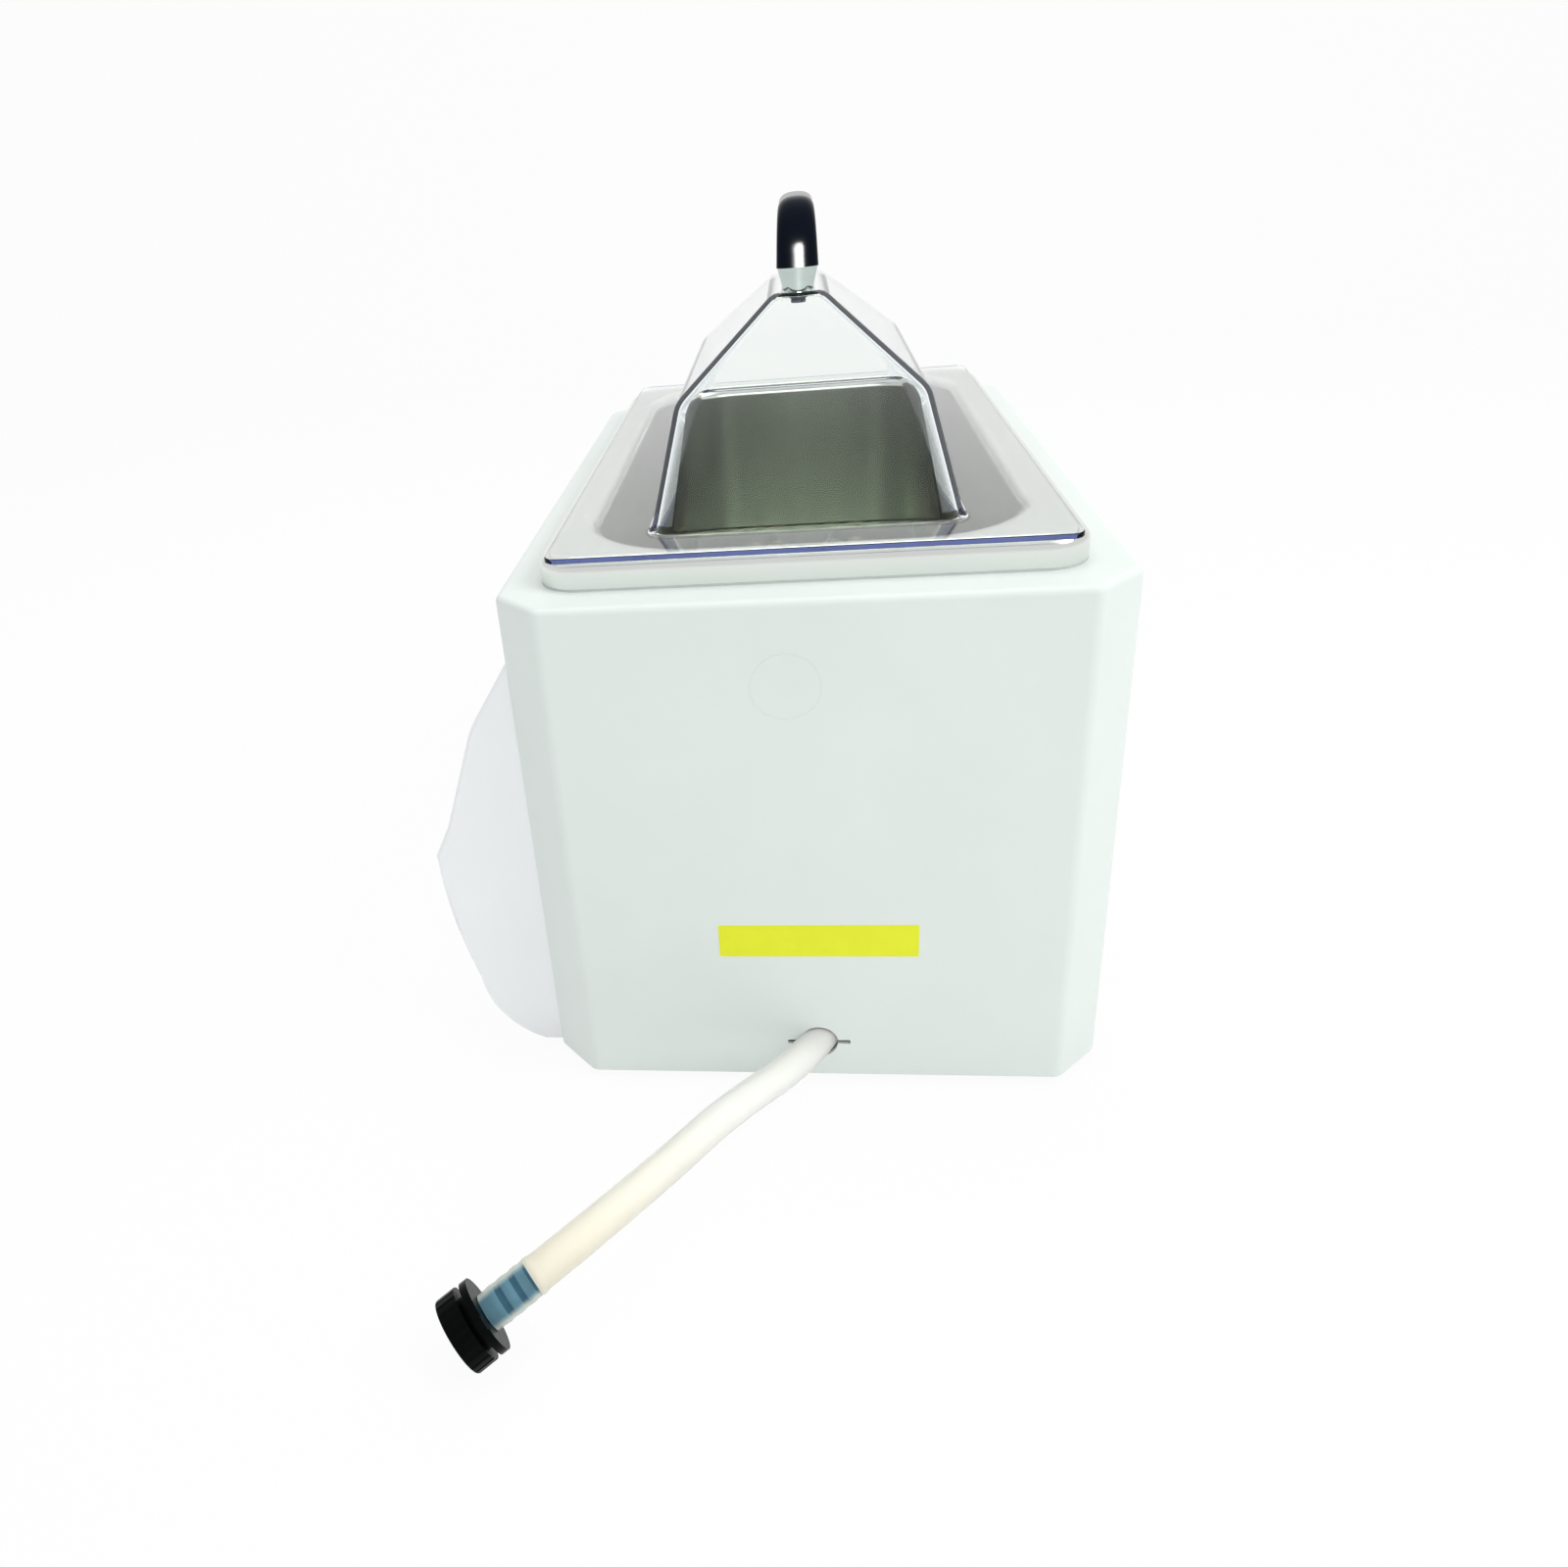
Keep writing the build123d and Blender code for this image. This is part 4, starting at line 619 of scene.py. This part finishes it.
def panel_finishes():
    """The front with its display, keys and switch, and the inlet at the back."""
    return {
        "fascia_white": finish("fascia_white", (248, 250, 250), 0.01, (0.30, 0.38), 18,
                               bump=(1400, 0.06, 0.0001)),
        "overlay_grey": finish("overlay_grey", (160, 172, 182), 0.03, (0.45, 0.55), 120,
                               bump=(2500, 0.12, 0.0001)),
        "window_dark": finish("window_dark", (14, 18, 18), 0.1, (0.06, 0.1), 40,
                              bump=(300, 0.01, 0.0001), alpha=0.85),
        "module_black": finish("module_black", (24, 27, 27), 0.1, (0.4, 0.5), 200),
        "board_green": finish("board_green", (30, 92, 58), 0.1, (0.35, 0.45), 300),
        "key_grey": finish("key_grey", (92, 106, 120), 0.05, (0.5, 0.6), 260, bump=(1800, 0.15, 0.0001)),
        "key_green": finish("key_green", (54, 132, 84), 0.05, (0.5, 0.6), 260, bump=(1800, 0.15, 0.0001)),
        "switch_black": finish("switch_black", (24, 24, 25), 0.1, (0.4, 0.5), 260),
        "rocker_black": finish("rocker_black", (20, 20, 21), 0.1, (0.2, 0.3), 200),
        "inlet_black": finish("inlet_black", (26, 26, 28), 0.1, (0.4, 0.5), 260),
        "pin_brass": finish("pin_brass", (218, 212, 196), 0.06, (0.2, 0.3), 300, metallic=1.0),
    }


def inner_finishes():
    """The pump, its motor and hoses, and the wiring."""
    return {
        "nozzle_steel": finish("nozzle_steel", (188, 190, 190), 0.06, (0.22, 0.34), 160, metallic=1.0),
        "pump_grey": finish("pump_grey", (66, 69, 72), 0.08, (0.5, 0.6), 200),
        "impeller_white": finish("impeller_white", (224, 224, 218), 0.03, (0.4, 0.5), 200),
        "shaft_steel": finish("shaft_steel", (196, 198, 200), 0.05, (0.18, 0.28), 200, metallic=1.0),
        "seal_black": finish("seal_black", (22, 22, 23), 0.1, (0.6, 0.75), 300),
        "motor_paint": finish("motor_paint", (56, 61, 66), 0.06, (0.4, 0.5), 120, bump=(700, 0.15, 0.0001)),
        "bearing_chrome": finish("bearing_chrome", (200, 202, 205), 0.05, (0.12, 0.2), 200, metallic=1.0),
        "core_iron": finish("core_iron", (110, 106, 102), 0.12, (0.45, 0.6), 60,
                            stretch=(1500.0, 1.0, 1.0), metallic=1.0),
        "hose_silicone": finish("hose_silicone", (232, 232, 224), 0.04, (0.4, 0.5), 150,
                                transmission_weight=0.4),
        "transformer_blue": finish("transformer_blue", (44, 62, 100), 0.08, (0.45, 0.55), 200),
        "sink_aluminium": finish("sink_aluminium", (190, 192, 196), 0.05, (0.35, 0.45), 90, metallic=1.0),
        "relay_cream": finish("relay_cream", (214, 206, 184), 0.04, (0.45, 0.55), 160),
        "cable_grey": finish("cable_grey", (104, 106, 110), 0.06, (0.55, 0.65), 240),
    }


def dress_solids(finishes):
    slots = {part["node"]: part["material_slot"] for part in frame["record"]["subparts"]}
    for name, node in frame["nodes"].items():
        node.data.materials.clear()
        node.data.materials.append(finishes[slots[name]])
        smooth(node.data, SOLIDS_SHARP_DEGREES)


def dress_piece(finishes, piece, slots):
    """Gives a piece its finishes, and leaves each of its faces with the one that it was given."""
    kept = [face.material_index for face in piece.data.polygons]
    piece.data.materials.clear()
    for slot in slots:
        piece.data.materials.append(finishes[slot])
    for face, index in zip(piece.data.polygons, kept):
        face.material_index = index


# Floor: a sweep that curves up into a low wall far behind the object

FLOOR_HALF_WIDTH = 3.2
FLOOR_NEAR = 3.5
WALL_PLACE = -3.0
WALL_TOP = 3.0
SWEEP_RADIUS = 0.8
SWEEP_STEPS = 12
FLOOR_PALE = (0.88, 0.88, 0.88, 1.0)
FLOOR_ROUGH = 0.9
FLOOR_EVENNESS = 0.94  # the share by which the floor, where it is seen, is plain white


def seen_directly(nodes, links):
    """1 for rays that show the surroundings themselves: straight, mirrored or through clear material."""
    path = nodes.new("ShaderNodeLightPath")
    last = path.outputs["Is Camera Ray"]
    for kind in ("Is Glossy Ray", "Is Transmission Ray"):
        either = nodes.new("ShaderNodeMath")
        either.operation = "MAXIMUM"
        links.new(last, either.inputs[0])
        links.new(path.outputs[kind], either.inputs[1])
        last = either.outputs["Value"]
    return last


def pale_floor():
    mat = bpy.data.materials.new("pale_floor")
    mat.use_nodes = True
    nodes, links = mat.node_tree.nodes, mat.node_tree.links
    shader = nodes["Principled BSDF"]
    shader.inputs["Base Color"].default_value = FLOOR_PALE
    shader.inputs["Roughness"].default_value = FLOOR_ROUGH
    shader.inputs["Specular IOR Level"].default_value = 0.0
    white = nodes.new("ShaderNodeEmission")
    white.inputs["Strength"].default_value = 1.0
    share = nodes.new("ShaderNodeMath")
    share.operation = "MULTIPLY"
    share.inputs[1].default_value = FLOOR_EVENNESS
    links.new(seen_directly(nodes, links), share.inputs[0])
    both = nodes.new("ShaderNodeMixShader")
    links.new(share.outputs["Value"], both.inputs["Fac"])
    links.new(shader.outputs["BSDF"], both.inputs[1])
    links.new(white.outputs["Emission"], both.inputs[2])
    links.new(both.outputs["Shader"], nodes["Material Output"].inputs["Surface"])
    return mat


def make_stage():
    bend = WALL_PLACE + SWEEP_RADIUS
    profile = [(FLOOR_NEAR, 0.0), (bend, 0.0)]
    for k in range(1, SWEEP_STEPS + 1):
        angle = QUARTER * k / SWEEP_STEPS
        profile.append((bend - SWEEP_RADIUS * sin(angle), SWEEP_RADIUS - SWEEP_RADIUS * cos(angle)))
    profile.append((WALL_PLACE, WALL_TOP))
    bm = bmesh.new()
    rows = [[bm.verts.new((x, side * FLOOR_HALF_WIDTH, z)) for side in (-1, 1)] for x, z in profile]
    for a, b in zip(rows, rows[1:]):
        bm.faces.new((a[0], a[1], b[1], b[0]))
    mesh = bpy.data.meshes.new("floor_sweep")
    bm.to_mesh(mesh)
    bm.free()
    mesh.shade_smooth()
    mesh.materials.append(pale_floor())
    floor = bpy.data.objects.new("floor_sweep", mesh)
    add(floor)


# Light: each lamp's name, place, target, size both ways and power in watts

SKY = (0.96, 0.98, 1.0, 1.0)
SKY_STRENGTH = 0.62
LAMPS = [
    ("key", (0.6, 1.6, 1.9), (0, 0, 0.25), (1.4, 1.4), 21),
    ("top", (-0.3, 0.0, 2.2), (0, 0, 0.2), (1.6, 1.2), 12),
    ("fill", (1.9, 0.1, 0.9), (0, 0, 0.2), (1.4, 1.0), 5),
]
WINDOW = ("window", (1.45, 0.12, 0.52), (0, 0, 0.46), (0.46, 0.62), 160)


def make_sky():
    """The world: it lights the object as a dim sky, and is plain white where it is seen."""
    world = bpy.data.worlds.new("studio")
    bpy.context.scene.world = world
    world.use_nodes = True
    nodes, links = world.node_tree.nodes, world.node_tree.links
    sky = nodes["Background"]
    sky.inputs["Color"].default_value = SKY
    sky.inputs["Strength"].default_value = SKY_STRENGTH
    white = nodes.new("ShaderNodeBackground")
    white.inputs["Strength"].default_value = 1.0
    both = nodes.new("ShaderNodeMixShader")
    links.new(seen_directly(nodes, links), both.inputs["Fac"])
    links.new(sky.outputs["Background"], both.inputs[1])
    links.new(white.outputs["Background"], both.inputs[2])
    links.new(both.outputs["Shader"], nodes["World Output"].inputs["Surface"])


def area_light(name, place, target, size, power, mirrored_in=()):
    """A soft lamp. One that is mirrored in some pieces shows only there, and the others in no reflection."""
    data = bpy.data.lights.new(name, "AREA")
    data.shape = "ELLIPSE"
    data.size, data.size_y = size
    data.energy = power
    lamp = bpy.data.objects.new(name, data)
    lamp.location = place
    lamp.visible_glossy = bool(mirrored_in)
    lamp.visible_diffuse = not mirrored_in
    if mirrored_in:
        pieces = bpy.data.collections.new("mirrors_of_" + name)
        for piece in mirrored_in:
            pieces.objects.link(piece)
        lamp.light_linking.receiver_collection = pieces
    lamp.rotation_euler = (Vector(target) - Vector(place)).to_track_quat("-Z", "Y").to_euler()
    add(lamp)


make_camera()
hose = make_drain_hose()
lid = make_lid()
grip = make_grip()
finishes = {**body_finishes(), **lid_finishes(), **panel_finishes(), **inner_finishes()}
dress_solids(finishes)
dress_piece(finishes, hose, HOSE_FINISHES)
dress_piece(finishes, lid, LID_FINISHES)
dress_piece(finishes, grip, ["handle_black"])
make_stage()
make_sky()
for lamp in LAMPS:
    area_light(*lamp)
area_light(*WINDOW, mirrored_in=[grip, frame["nodes"]["handle_ends"]])
bpy.context.scene.view_settings.view_transform = "Standard"
